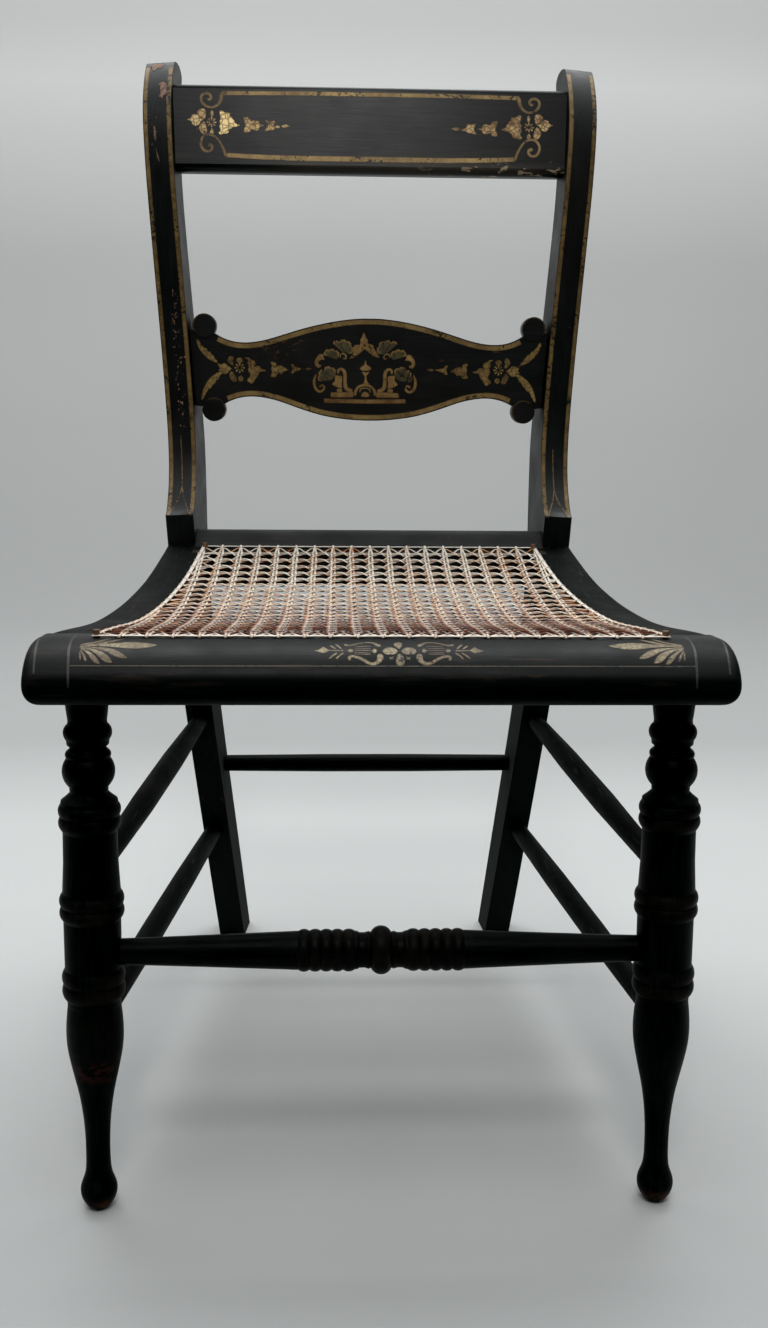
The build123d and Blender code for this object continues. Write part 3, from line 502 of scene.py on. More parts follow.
class Art:
    """Collects thin closed shells that lie on the painted surfaces."""

    def __init__(self, name):
        self.name, self.v, self.f = name, [], []
        self.att = {"edge": [], "tone": [], "fade": [], "kind": []}
        self.count = 0

    def add(self, loop, node, ray, tone=0.5, fade=0.0, kind=0.0, grid=1.0, lift=0.10, rim=None):
        V, F, A = fill(loop, grid)
        if len(F) == 0:
            return
        e = seg_distance(V, A) if rim is None else seg_distance(V, list(rim) + list(rim)[::-1])
        e = e * max(1.0, 1.35 / max(float(e.max()), 0.1))       # small shapes keep a bright middle
        tree = tree_of(node) if isinstance(node, str) else node
        d, start = ray
        hits = []
        for x, z in V:
            s = start(float(x), float(z)) * MM
            h, nrm, _, _ = tree.ray_cast(s, d)
            hits.append(None if h is None or nrm.dot(d) > -0.2 else h)
        good = [f for f in F if all(hits[i] is not None for i in f)]
        if not good:
            return
        used = sorted({i for f in good for i in f})
        ids = {i: k for k, i in enumerate(used)}
        top = (lift + 0.012 * (self.count % 6)) * MM
        low = -0.05 * MM
        self.count += 1
        base = len(self.v)
        n = len(used)
        for off in (top, low):
            self.v += [tuple(hits[i] - d * off) for i in used]
        fade_v = [fade(V[i]) if callable(fade) else fade for i in used]
        for _ in range(2):
            self.att["edge"] += [float(e[i]) for i in used]
            self.att["tone"] += [tone] * n
            self.att["fade"] += fade_v
            self.att["kind"] += [kind] * n
        edges = {}
        for f in good:
            a, b, c = (ids[i] for i in f)
            pa, pb, pc = (V[i] for i in f)
            if (pb[0] - pa[0]) * (pc[1] - pa[1]) - (pb[1] - pa[1]) * (pc[0] - pa[0]) < 0:
                b, c = c, b
            self.f.append((base + a, base + b, base + c))
            self.f.append((base + n + a, base + n + c, base + n + b))
            for p, q in ((a, b), (b, c), (c, a)):
                edges[(p, q)] = edges.get((p, q), 0) + 1
        for (p, q) in edges:
            if (q, p) not in edges:
                self.f.append((base + q, base + p, base + n + p, base + n + q))

    def build(self, material, slot):
        me = bpy.data.meshes.new(self.name)
        me.from_pydata(self.v, [], self.f)
        for k, vals in self.att.items():
            a = me.attributes.new(k, "FLOAT", "POINT")
            a.data.foreach_set("value", np.array(vals, np.float32))
        me.validate()
        me.update()
        ob = bpy.data.objects.new(self.name, me)
        bpy.context.scene.collection.objects.link(ob)
        me.materials.append(material)
        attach(ob, "root")
        return ob


rng = random.Random(11)

# ---------------------------------------------------------------------------
# materials
# ---------------------------------------------------------------------------
class Mat:
    def __init__(self, name, **sockets):
        self.m = bpy.data.materials.new(name)
        self.m.use_nodes = True
        self.t = self.m.node_tree
        self.t.nodes.clear()
        self.out = self.new("ShaderNodeOutputMaterial")
        self.b = self.new("ShaderNodeBsdfPrincipled")
        self.t.links.new(self.b.outputs[0], self.out.inputs["Surface"])
        self._obj = None
        for k, v in sockets.items():
            self.b.inputs[k.replace("_", " ")].default_value = v

    def new(self, kind, **props):
        n = self.t.nodes.new(kind)
        for k, v in props.items():
            setattr(n, k, v)
        return n

    def put(self, node, **ins):
        for k, v in ins.items():
            s = node.inputs[int(k[1:])] if k[0] == "i" and k[1:].isdigit() else node.inputs[k.replace("_", " ")]
            if isinstance(v, bpy.types.NodeSocket):
                self.t.links.new(v, s)
            else:
                s.default_value = v
        return node

    def obj(self):
        if self._obj is None:
            self._obj = self.new("ShaderNodeTexCoord").outputs["Object"]
        return self._obj

    def sep(self):
        n = self.put(self.new("ShaderNodeSeparateXYZ"), i0=self.obj())
        return n.outputs

    def scaled(self, s, vec=None, rot=(0, 0, 0)):
        n = self.put(self.new("ShaderNodeMapping"), Vector=vec or self.obj())
        n.inputs["Scale"].default_value = s
        n.inputs["Rotation"].default_value = rot
        return n.outputs[0]

    def noise(self, scale, detail=3.0, rough=0.55, vec=None, dist=0.0):
        n = self.put(self.new("ShaderNodeTexNoise"), Vector=vec or self.obj(),
                     Scale=scale, Detail=detail, Roughness=rough, Distortion=dist)
        return n.outputs["Fac"]

    def math(self, op, a, b=0.0, c=None, clamp=False):
        n = self.new("ShaderNodeMath", operation=op, use_clamp=clamp)
        self.put(n, i0=a, i1=b)
        if c is not None:
            self.put(n, i2=c)
        return n.outputs[0]

    def rng(self, v, a, b, c=0.0, d=1.0, smooth=False):
        n = self.new("ShaderNodeMapRange", interpolation_type="SMOOTHSTEP" if smooth else "LINEAR")
        self.put(n, i0=v, i1=a, i2=b, i3=c, i4=d)
        return n.outputs[0]

    def mix(self, f, a, b, blend="MIX"):
        n = self.new("ShaderNodeMix", data_type="RGBA", blend_type=blend)
        self.put(n, i0=f)
        for s, v in ((n.inputs[6], a), (n.inputs[7], b)):
            if isinstance(v, bpy.types.NodeSocket):
                self.t.links.new(v, s)
            else:
                s.default_value = (*v, 1.0) if len(v) == 3 else v
        return n.outputs[2]

    def ramp(self, f, stops, mode="LINEAR"):
        n = self.put(self.new("ShaderNodeValToRGB"), Fac=f)
        r = n.color_ramp
        r.interpolation = mode
        while len(r.elements) < len(stops):
            r.elements.new(0.5)
        for e, (p, c) in zip(r.elements, stops):
            e.position = p
            e.color = (*c, 1.0)
        return n.outputs["Color"]

    def attr(self, name):
        return self.new("ShaderNodeAttribute", attribute_name=name).outputs["Fac"]

    def edge(self, radius, lo=0.985, hi=0.80):
        """1 on edges and corners, 0 on flats."""
        bv = self.put(self.new("ShaderNodeBevel", samples=6), Radius=radius)
        g = self.new("ShaderNodeNewGeometry")
        d = self.new("ShaderNodeVectorMath", operation="DOT_PRODUCT")
        self.put(d, i0=bv.outputs[0], i1=g.outputs["Normal"])
        return self.rng(d.outputs["Value"], lo, hi)

    def bump(self, height, strength, distance, normal=None):
        n = self.put(self.new("ShaderNodeBump"), Height=height, Strength=strength, Distance=distance)
        if normal is not None:
            self.put(n, Normal=normal)
        return n.outputs[0]

    def finish(self, color, rough=None, normal=None):
        self.put(self.b, Base_Color=color)
        if rough is not None:
            self.put(self.b, Roughness=rough)
        if normal is not None:
            self.put(self.b, Normal=normal)
        return self.m


INK = (0.0018, 0.0026, 0.0025)       # lamp black over a trace of green
INK2 = (0.0062, 0.0078, 0.0070)
BROWN = (0.060, 0.022, 0.012)        # red-brown undercoat
WOOD = (0.21, 0.105, 0.048)


def stretch(axis, along, across):
    return {"X": (along, across, across), "Y": (across, along, across),
            "Z": (across, across, along)}[axis]


def paint(name, axis, extra="", wear=1.0, spec=0.36, rlo=0.34, rhi=0.52, bloom_and_sheen=0.35, dull_and_shaded=None):
    """Old black paint on wood: brush marks along the grain, rubbed edges and scattered nicks."""
    g = Mat(name, Specular_IOR_Level=spec)
    long_ = g.scaled(stretch(axis, 1.0, 14.0))
    brush = g.noise(26.0, 5.0, 0.62, long_)
    fine = g.noise(95.0, 4.0, 0.6, g.scaled(stretch(axis, 1.0, 9.0)))
    cloud = g.noise(9.0, 3.0, 0.5)
    col = g.mix(g.rng(brush, 0.35, 0.72), INK, INK2)
    col = g.mix(g.rng(cloud, 0.45, 0.75, 0.0, 0.55), col, (0.0085, 0.0075, 0.0060))
    # faint pale streaks along the grain: varnish bloom, and painted sheen standing in for the reflection that the low
    # specular leaves out
    bloom_sheen_streak = g.rng(g.noise(60.0, 2.0, 0.5, g.scaled(stretch(axis, 0.35, 6.0))), 0.62, 0.78, 0.0, bloom_and_sheen)
    col = g.mix(bloom_sheen_streak, col, (0.030, 0.029, 0.024))
    # rubbed edges
    e = g.edge(0.0019)
    e_noise = g.rng(g.noise(150.0, 4.0, 0.65), 0.47, 0.66)
    rub = g.math("MULTIPLY", e, e_noise)
    rub = g.math("MULTIPLY", rub, 0.75 * wear, clamp=True)
    col = g.mix(rub, col, BROWN)
    deep = g.math("MULTIPLY", e, g.rng(g.noise(210.0, 3.0, 0.6), 0.66, 0.74))
    col = g.mix(g.math("MULTIPLY", deep, 0.8 * wear, clamp=True), col, WOOD)
    # nicks on the flats, mostly longer along the grain
    nick = g.noise(230.0, 2.0, 0.5, g.scaled(stretch(axis, 0.33, 1.0)))
    area = g.rng(g.noise(11.0, 2.0, 0.5, g.scaled((1, 1, 1), rot=(0.3, 0.2, 0.9))), 0.52, 0.62)
    nick = g.math("MULTIPLY", g.rng(nick, 0.705, 0.735), area)
    col = g.mix(g.math("MULTIPLY", nick, 0.8 * wear, clamp=True), col, (0.085, 0.032, 0.018))
    rough = g.rng(g.noise(34.0, 4.0, 0.6), 0.3, 0.75, rlo, rhi)
    x, y, z = g.sep()
    if extra == "leg":
        t = g.math("DIVIDE", z, 0.3526)
        dx = g.math("SUBTRACT", g.math("ABSOLUTE", x), g.math("MULTIPLY_ADD", t, -0.0020, 0.1941))
        dy = g.math("SUBTRACT", y, g.math("MULTIPLY_ADD", t, 0.0153, -0.23075))
        r = g.math("SQRT", g.math("ADD", g.math("MULTIPLY", dx, dx), g.math("MULTIPLY", dy, dy)))
        ring = g.rng(r, 0.0192, 0.0206)
        ring = g.math("MULTIPLY", ring, g.rng(g.noise(60.0, 4.0, 0.6), 0.36, 0.62))
        col = g.mix(g.math("MULTIPLY", ring, 0.22), col, (0.030, 0.021, 0.018))
        foot = g.rng(z, 0.013, 0.002)
        foot = g.math("MULTIPLY", foot, g.rng(g.noise(120.0, 3.0, 0.6), 0.38, 0.6))
        col = g.mix(g.math("MULTIPLY", foot, 0.55), col, (0.13, 0.055, 0.028))
        # a scraped place on the vase of one leg
        pz = g.math("MULTIPLY", g.rng(z, 0.096, 0.104), g.rng(z, 0.121, 0.113))
        side = g.rng(x, -0.17, -0.18)
        scr = g.math("MULTIPLY", g.math("MULTIPLY", pz, side),
                     g.rng(g.noise(85.0, 4.0, 0.65, g.scaled((1, 1, 2.2))), 0.50, 0.60))
        col = g.mix(g.math("MULTIPLY", scr, 0.40), col, (0.060, 0.016, 0.017))
    if extra == "turned":
        dz = g.math("SUBTRACT", z, 0.1856)
        dy = g.math("SUBTRACT", y, -0.2227)
        r = g.math("SQRT", g.math("ADD", g.math("MULTIPLY", dz, dz), g.math("MULTIPLY", dy, dy)))
        mid = g.math("MULTIPLY", g.rng(g.math("ABSOLUTE", x), 0.066, 0.060), g.rng(y, -0.16, -0.18))
        ring = g.math("MULTIPLY", g.rng(r, 0.0122, 0.0138), mid)
        ring = g.math("MULTIPLY", ring, g.rng(g.noise(70.0, 4.0, 0.6), 0.34, 0.62))
        col = g.mix(g.math("MULTIPLY", ring, 0.22), col, (0.028, 0.020, 0.017))
    if extra == "slat":
        # flaking near the upper left end
        area = g.math("MULTIPLY", g.rng(x, -0.052, -0.066), g.rng(x, -0.112, -0.098))
        area = g.math("MULTIPLY", area, g.rng(z, 0.5780, 0.5835))
        fl = g.math("MULTIPLY", area, g.rng(g.noise(330.0, 3.0, 0.6, g.scaled((0.5, 1, 1))), 0.58, 0.63))
        col = g.mix(g.math("MULTIPLY", fl, 0.75), col, (0.085, 0.030, 0.018))
    if extra == "roll":
        # grain checks and small scuffs along the front of the roll
        sc = g.math("MULTIPLY", g.rng(z, 0.3995, 0.392), g.rng(g.noise(120.0, 3.0, 0.6, g.scaled((0.14, 1, 1))), 0.60, 0.68))
        col = g.mix(g.math("MULTIPLY", sc, 0.45), col, (0.050, 0.034, 0.026))
    if extra == "crest":
        # painted highlight: the paint is lighter grey in the middle of the crest, standing in for the broad sheen of
        # the lamp on its face
        centre_sheen = g.math("MULTIPLY", g.rng(g.math("ABSOLUTE", x), 0.150, 0.030, smooth=True), g.rng(brush, 0.30, 0.60, 0.45, 1.0))
        col = g.mix(g.math("MULTIPLY", centre_sheen, 0.80), col, (0.031, 0.034, 0.032))
        # bloom and brown wear gathering towards the lower border
        low = g.math("MULTIPLY", g.rng(z, 0.768, 0.752), g.rng(z, 0.741, 0.747))
        sm = g.rng(g.noise(42.0, 4.0, 0.6, g.scaled((0.16, 1, 1))), 0.47, 0.66)
        col = g.mix(g.math("MULTIPLY", g.math("MULTIPLY", low, sm), 0.7), col, (0.060, 0.050, 0.038))
        spot = g.math("MULTIPLY", g.rng(z, 0.756, 0.750), g.rng(x, 0.03, 0.10))
        spot = g.math("MULTIPLY", spot, g.rng(y, 0.199, 0.195))
        spot = g.math("MULTIPLY", spot, g.rng(g.noise(190.0, 3.0, 0.6, g.scaled((0.4, 1, 1))), 0.60, 0.64))
        col = g.mix(g.math("MULTIPLY", spot, 0.85), col, (0.42, 0.33, 0.22))
    height = g.math("ADD", g.math("MULTIPLY", brush, 0.6), g.math("MULTIPLY", fine, 0.4))
    nrm = g.bump(height, 0.13 if extra == "crest" else 0.28, 0.0006)
    nrm = g.bump(g.math("ADD", rub, nick), 0.35, 0.00025, nrm)
    rough = g.math("ADD", rough, g.math("MULTIPLY", rub, 0.2))
    if dull_and_shaded:
        # below this height the varnish has gone dead flat, and the colour is pulled to plain black: painted shade on
        # the lower faces
        flat = g.rng(z, dull_and_shaded[0], dull_and_shaded[1], 0.0, 1.0, smooth=True)
        rough = g.math("ADD", g.math("MULTIPLY", rough, g.math("SUBTRACT", 1.0, flat)), g.math("MULTIPLY", flat, 0.96))
        col = g.mix(g.math("MULTIPLY", flat, 0.65), col, INK)
    return g.finish(col, rough, nrm)


def gold(name, light, dark, metallic=0.55, worn=0.5, edge_brown=0.75, speckle=0.5, veins=0.0):
    """Bronze powder stencilled on tacky varnish: grainy, brown at the rim, rubbed through in places."""
    g = Mat(name, Metallic=metallic, Specular_IOR_Level=0.4)
    grain = g.noise(900.0, 3.0, 0.7)
    patch = g.noise(150.0, 3.0, 0.6)
    big = g.noise(28.0, 2.0, 0.5)
    f = g.math("ADD", g.math("MULTIPLY", patch, 0.95), g.math("MULTIPLY", grain, 0.75))
    f = g.math("ADD", f, g.math("MULTIPLY", big, 0.8))
    f = g.math("ADD", f, g.math("SUBTRACT", g.attr("tone"), 1.25))
    mid = tuple(0.5 * (a + b) for a, b in zip(light, dark))
    col = g.ramp(f, [(0.12, dark), (0.5, mid), (0.9, light)])
    if veins:
        # lobes shaded apart from one another
        v = g.new("ShaderNodeTexVoronoi", feature="DISTANCE_TO_EDGE")
        g.put(v, Vector=g.obj(), Scale=235.0)
        line = g.rng(v.outputs["Distance"], 0.02, 0.16, 1.0, 0.0, smooth=True)
        col = g.mix(g.math("MULTIPLY", line, veins), col, (0.075, 0.036, 0.014))
    edge = g.attr("edge")
    # fans: bright rims that fade into an olive ground
    inner = g.math("MULTIPLY", g.rng(edge, 0.35, 2.0, 0.0, 1.0, smooth=True), g.attr("kind"))
    inner = g.math("MULTIPLY", inner, g.rng(g.noise(210.0, 3.0, 0.6), 0.25, 0.7, 0.70, 1.0))
    olive = g.ramp(g.noise(170.0, 3.0, 0.6), [(0.3, (0.030, 0.032, 0.020)), (0.7, (0.115, 0.115, 0.068))])
    col = g.mix(inner, col, olive)
    rim = g.rng(edge, 0.05, 0.80, 1.0, 0.0, smooth=True)
    rim = g.math("MULTIPLY", rim, g.rng(g.noise(300.0, 2.0, 0.5), 0.3, 0.6, 0.35, 1.0))
    col = g.mix(g.math("MULTIPLY", rim, edge_brown), col, (0.060, 0.028, 0.011))
    # rubbed through
    w = g.math("ADD", g.noise(330.0, 4.0, 0.62), g.math("MULTIPLY", g.noise(38.0, 2.0, 0.5), 0.6))
    lim = 1.02 - 0.17 * worn
    wear = g.rng(w, lim, lim + 0.045)
    wear = g.math("MAXIMUM", wear, g.attr("fade"), clamp=True)
    col = g.mix(g.math("MULTIPLY", wear, 0.92), col, INK2)
    rough = g.rng(grain, 0.2, 0.8, 0.34, 0.58)
    nrm = g.bump(grain, 0.18 * speckle, 0.0004)
    return g.finish(col, rough, nrm)


def worn_spot(name, light, dark):
    """Undercoat and bare wood where paint has come away."""
    g = Mat(name, Specular_IOR_Level=0.25)
    n = g.noise(420.0, 4.0, 0.62)
    col = g.ramp(n, [(0.3, dark), (0.7, light)])
    edge = g.attr("edge")
    rag = g.math("ADD", edge, g.math("MULTIPLY", g.math("SUBTRACT", g.noise(340.0, 4.0, 0.7), 0.5), 3.4))
    gone = g.rng(rag, 0.30, 0.62)
    col = g.mix(gone, INK2, col)
    return g.finish(col, 0.62, g.bump(n, 0.3, 0.0004))


def cane_mat(name, shift=0.0, front_shift=1.0, gloss=0.1):
    """Split cane: glossy skin, straw to orange to brown, with long streaks; painted highlights give the skin its shine
    and painted shade darkens the strand edges and hollows.
    """
    g = Mat(name, Specular_IOR_Level=gloss)
    tone = g.attr("tone")
    along = g.attr("along")
    big = g.noise(8.0, 2.0, 0.5)
    mid = g.noise(70.0, 3.0, 0.6)
    small = g.noise(520.0, 3.0, 0.6)
    x, y, z = g.sep()
    # the colour runs darker and more orange towards the front of the seat, paler towards the back
    front = g.rng(y, 0.12, -0.17, -0.24, 0.48 * front_shift, smooth=True)
    f = g.math("ADD", g.math("MULTIPLY", mid, 0.85), g.math("MULTIPLY", big, 0.42))
    f = g.math("ADD", f, g.math("MULTIPLY", g.math("SUBTRACT", tone, 0.5), 0.85))
    f = g.math("ADD", g.math("ADD", f, front), shift - 0.12)
    col = g.ramp(f, [(0.14, (0.92, 0.84, 0.72)), (0.36, (0.82, 0.61, 0.41)), (0.54, (0.70, 0.35, 0.15)),
                     (0.72, (0.46, 0.16, 0.060)), (0.95, (0.15, 0.045, 0.022))])
    pink = g.rng(g.noise(21.0, 2.0, 0.5, g.scaled((1, 1, 1), rot=(0.7, 0.1, 0.4))), 0.42, 0.66, 0.0, 0.18)
    col = g.mix(pink, col, (0.56, 0.34, 0.28))
    # faint cream flecks: painted glints on the skin
    col = g.mix(g.rng(small, 0.55, 0.8, 0.0, 0.10), col, (0.93, 0.88, 0.79))
    # painted shade: darker along the edges of each strand and in the hollows where it runs under its neighbours or
    # into the holes
    rim = g.rng(g.math("ABSOLUTE", g.attr("across")), 0.66, 1.0, 0.0, 0.7)
    col = g.mix(rim, col, (0.12, 0.040, 0.022))
    deep = g.attr("deep")
    col = g.mix(g.math("MULTIPLY", deep, 0.94, clamp=True), col, (0.055, 0.014, 0.009))
    # painted highlight: cream where a strand rides over a crossing and along the front rim, fading towards the strand
    # edges
    lit = g.math("MULTIPLY", g.attr("lit"), g.rng(g.noise(300.0, 2.0, 0.5), 0.32, 0.55, 0.45, 1.0))
    lit = g.math("MULTIPLY", lit, g.rng(g.math("ABSOLUTE", g.attr("across")), 0.60, 1.0, 1.0, 0.45))
    col = g.mix(lit, col, (1.0, 0.93, 0.82))
    line = g.new("ShaderNodeTexWave", wave_type="BANDS", bands_direction="X")
    n2 = g.put(g.new("ShaderNodeCombineXYZ"), i0=g.attr("across"), i1=g.math("MULTIPLY", along, 0.03), i2=0.0)
    g.put(line, Vector=n2.outputs[0], Scale=2.6, Distortion=1.4, Detail=2.0)
    nrm = g.bump(line.outputs["Fac"], 0.2, 0.0003)
    rough = g.rng(small, 0.3, 0.7, 0.34, 0.52)
    return g.finish(col, rough, nrm)


def plain_wood(name):
    g = Mat(name, Specular_IOR_Level=0.35)
    n = g.noise(240.0, 5.0, 0.65, g.scaled((1, 1, 0.12)))
    col = g.ramp(n, [(0.3, (0.070, 0.034, 0.018)), (0.55, (0.17, 0.095, 0.052)), (0.8, (0.36, 0.23, 0.14))])
    return g.finish(col, g.rng(n, 0.2, 0.8, 0.5, 0.7), g.bump(n, 0.35, 0.0005))

# ---------------------------------------------------------------------------
# the painted pieces keep their CAD meshes: softened edges and a paint made for each
# ---------------------------------------------------------------------------
PAINT = {
    "x": paint("black_paint_cross", "X", "crest", bloom_and_sheen=0.25, spec=0.19, rlo=0.32, rhi=0.37),
    "slat": paint("black_paint_slat", "X", "slat", 0.8, spec=0.42, bloom_and_sheen=0.25),
    "seat": paint("black_paint_seat_side", "Y", wear=0.9, spec=0.05, rlo=0.50, rhi=0.66, bloom_and_sheen=0.8),
    "rear": paint("black_paint_seat_back", "X", wear=0.9, spec=0.30, rlo=0.50, rhi=0.66, bloom_and_sheen=0.8),
    "y": paint("black_paint_side", "Y", wear=0.5, spec=0.03, rlo=0.50, rhi=0.66, bloom_and_sheen=0.95),
    "z": paint("black_paint_post", "Z", wear=1.1, spec=0.29, bloom_and_sheen=0.3, dull_and_shaded=(0.43, 0.36)),
    "leg": paint("black_paint_leg", "Z", "leg", 0.35, spec=0.03, rlo=0.38, rhi=0.55, bloom_and_sheen=0.0),
    "turned": paint("black_paint_turned", "X", "turned", 0.35, spec=0.04, bloom_and_sheen=0.0),
    "roll": paint("black_paint_roll", "X", "roll", 0.5, spec=0.13, rlo=0.38, rhi=0.56, bloom_and_sheen=0.25, dull_and_shaded=(0.3840, 0.3785)),
}
USE = {
    "back_post_right": ("z", 1.1), "back_post_left": ("z", 1.1),
    "crest_rail": ("x", 2.4), "lower_slat": ("slat", 0.9),
    "seat_front_roll": ("roll", 0.0),
    "seat_side_rail_right": ("seat", 0.7), "seat_side_rail_left": ("seat", 0.7),
    "seat_rear_rail": ("rear", 0.7),
    "front_leg_right": ("leg", 0.0), "front_leg_left": ("leg", 0.0),
    "front_stretcher": ("turned", 0.0), "rear_stretcher": ("turned", 0.0),
    "side_stretcher_upper_right": ("y", 0.0), "side_stretcher_upper_left": ("y", 0.0),
    "side_stretcher_lower_right": ("y", 0.0), "side_stretcher_lower_left": ("y", 0.0),
}
for node, (key, width) in USE.items():
    ob = NODES[node]
    ob.data.materials.clear()
    ob.data.materials.append(PAINT[key])
    if width:
        wd = ob.modifiers.new("join", "WELD")
        wd.merge_threshold = 0.00002
        bv = ob.modifiers.new("soft_edges", "BEVEL")
        bv.width = width * MM
        bv.segments = 3
        bv.limit_method = "ANGLE"
        bv.angle_limit = math.radians(38)
        bv.harden_normals = True
        bv.use_clamp_overlap = True

NODES["cane_pegs"].data.materials.clear()
NODES["cane_pegs"].data.materials.append(plain_wood("peg_wood"))

# ---------------------------------------------------------------------------
# stencilled ornament
# ---------------------------------------------------------------------------
GOLD_LINE = gold("gold_line", (0.47, 0.325, 0.125), (0.13, 0.078, 0.031), 0.30, 0.60)
GOLD_POST = gold("gold_post_line", (0.37, 0.245, 0.085), (0.085, 0.052, 0.021), 0.28, 0.78)
GOLD_LEAF = gold("gold_leaf", (0.95, 0.72, 0.34), (0.20, 0.105, 0.045), 0.40, 0.35, speckle=1.6, veins=0.75)
GOLD_SLAT = gold("gold_slat", (0.60, 0.42, 0.15), (0.14, 0.080, 0.032), 0.35, 0.55, speckle=1.4, veins=0.5)
GOLD_PALE = gold("gold_pale", (0.52, 0.45, 0.27), (0.13, 0.10, 0.055), 0.25, 0.60, veins=0.55)
GOLD_THIN = gold("gold_thin_line", (0.115, 0.095, 0.055), (0.030, 0.025, 0.015), 0.10, 0.95, edge_brown=0.25)
GOLD_FAN = gold("gold_fan", (0.58, 0.38, 0.14), (0.15, 0.080, 0.032), 0.35, 0.45)

# crest rail ------------------------------------------------------------
crest = Art("stencil_crest_lines")
leaves = Art("stencil_crest_leaves")
for end in ("top", "bot"):
    line = [p for p in CREST_ART["c_%s_line" % end][1]]
    full = [tuple(p) for p in reversed(line)] + [(-p[0], p[1], p[2]) for p in line]
    crest.add(ribbon_outline(catmull(full, False, 1.2), "flat"), "crest_rail", RAY_FRONT, 0.46)
for name, (kind, pts) in CREST_ART.items():
    if name.endswith("_line"):
        continue
    for loop in outlines_of(kind, pts):
        for s in (-1, 1):
            lp = loop if s < 0 else mirrored(loop)
            if "volute" in name:
                crest.add(lp, "crest_rail", RAY_FRONT, 0.30)
            else:
                bright = 0.95 if (s < 0 and name == "c_leaf1") else (0.42 if s < 0 else 0.32)
                if name in ("c_star", "c_pal_out"):
                    bright += 0.15
                leaves.add(lp, "crest_rail", RAY_FRONT, bright, grid=0.9)
crest.build(GOLD_LINE, "gold_stencil")
leaves.build(GOLD_LEAF, "gold_stencil")

# slat --------------------------------------------------------------------
bands = Art("stencil_slat_bands")


def edge_band(points, side, x_end):
    """A band that follows one long edge of the slat, just inside it."""
    half = [p for p in points if p[0] <= x_end]
    full = [(-x, z) for x, z in reversed(half[1:])] + half
    c = np.array(catmull(full, False, 2.0))
    d = np.gradient(c, axis=0)
    d /= np.linalg.norm(d, axis=1)[:, None]
    n = np.stack([-d[:, 1], d[:, 0]], 1) * side
    outer, inner = c + n * 0.9, c + n * 5.3
    return list(outer) + list(inner[::-1])


bands.add(edge_band(SLAT_TOP, -1, 139), "lower_slat", RAY_FRONT, 0.5)
bands.add(edge_band(SLAT_BOT, 1, 131), "lower_slat", RAY_FRONT, 0.5)
bands.build(GOLD_LINE, "gold_stencil")

slat_side = Art("stencil_slat_sides")
slat_mid = Art("stencil_slat_centre")
CENTRED = ("m_ped", "m_urn_top", "m_urn_bot", "m_arch", "m_arch_in", "m_shell")
SIDE_TONE = {"s_arc_up": 0.52, "s_arc_dn": 0.55, "s_leaf1": 0.38, "s_leaf2": 0.45, "s_leaf3": 0.48,
             "s_star": 0.75, "s_bud": 0.55}
for name, (kind, pts) in SLAT_ART.items():
    for loop in outlines_of(kind, pts):
        if "cres" in name:
            for s in (-1, 1):
                lp = loop if s < 0 else mirrored(loop)
                slat_side.add(lp, "lower_slat", RAY_FRONT, 0.36, kind=0.12, grid=0.9)
        elif name.startswith("s_"):
            for s in (-1, 1):
                lp = loop if s < 0 else mirrored(loop)
                slat_side.add(lp, "lower_slat", RAY_FRONT, SIDE_TONE.get(name, 0.30),
                              kind=0.0 if name in SIDE_TONE else 0.5, grid=0.9)
        else:
            tone = {"m_urn_top": 0.62, "m_urn_bot": 0.55, "m_bar2": 0.36, "m_ped": 0.50}.get(name, 0.46)
            slat_mid.add(loop, "lower_slat", RAY_FRONT, tone, grid=0.8)
            if name not in CENTRED:
                slat_mid.add(mirrored(loop, -4.2), "lower_slat", RAY_FRONT, tone, grid=0.8)
# painted highlight: faint thin gold arcs along the upper rim of each disc
for (dx, dz), (a0, a1) in ((DISCS[0], (20, 215)), (DISCS[1], (-35, 130))):
    ring = [(-dx + 9.9 * math.cos(math.radians(a)), dz + 9.9 * math.sin(math.radians(a)), 0.8)
            for a in range(a0, a1, 5)]
    loop = ribbon_outline(ring)
    for lp in (loop, mirrored(loop)):
        slat_side.add(lp, "lower_slat", RAY_FRONT, 0.30, fade=0.35, grid=0.9)
for base, notches in FANS.values():
    for loop, arc in fan_petals(base, notches):
        slat_mid.add(loop, "lower_slat", RAY_FRONT, 0.55, kind=1.0, grid=0.6, rim=arc)
        slat_mid.add(mirrored(loop, -4.2), "lower_slat", RAY_FRONT, 0.50, kind=1.0, grid=0.6,
                     rim=mirrored(arc, -4.2))
slat_side.build(GOLD_SLAT, "gold_stencil")
slat_mid.build(GOLD_FAN, "gold_stencil")

# back posts ----------------------------------------------------------------
SF_Y = [p[0] for p in STILE_FRONT]
SF_Z = [p[1] for p in STILE_FRONT]


def stile_x(z, t):
    """Across the front of the right-hand post at height z; t is 0 outside, 1 inside."""
    y = float(np.interp(z, SF_Z, SF_Y))
    return POST_A + POST_B * z + POST_C * (y - POST_Y0) - POST_W * t


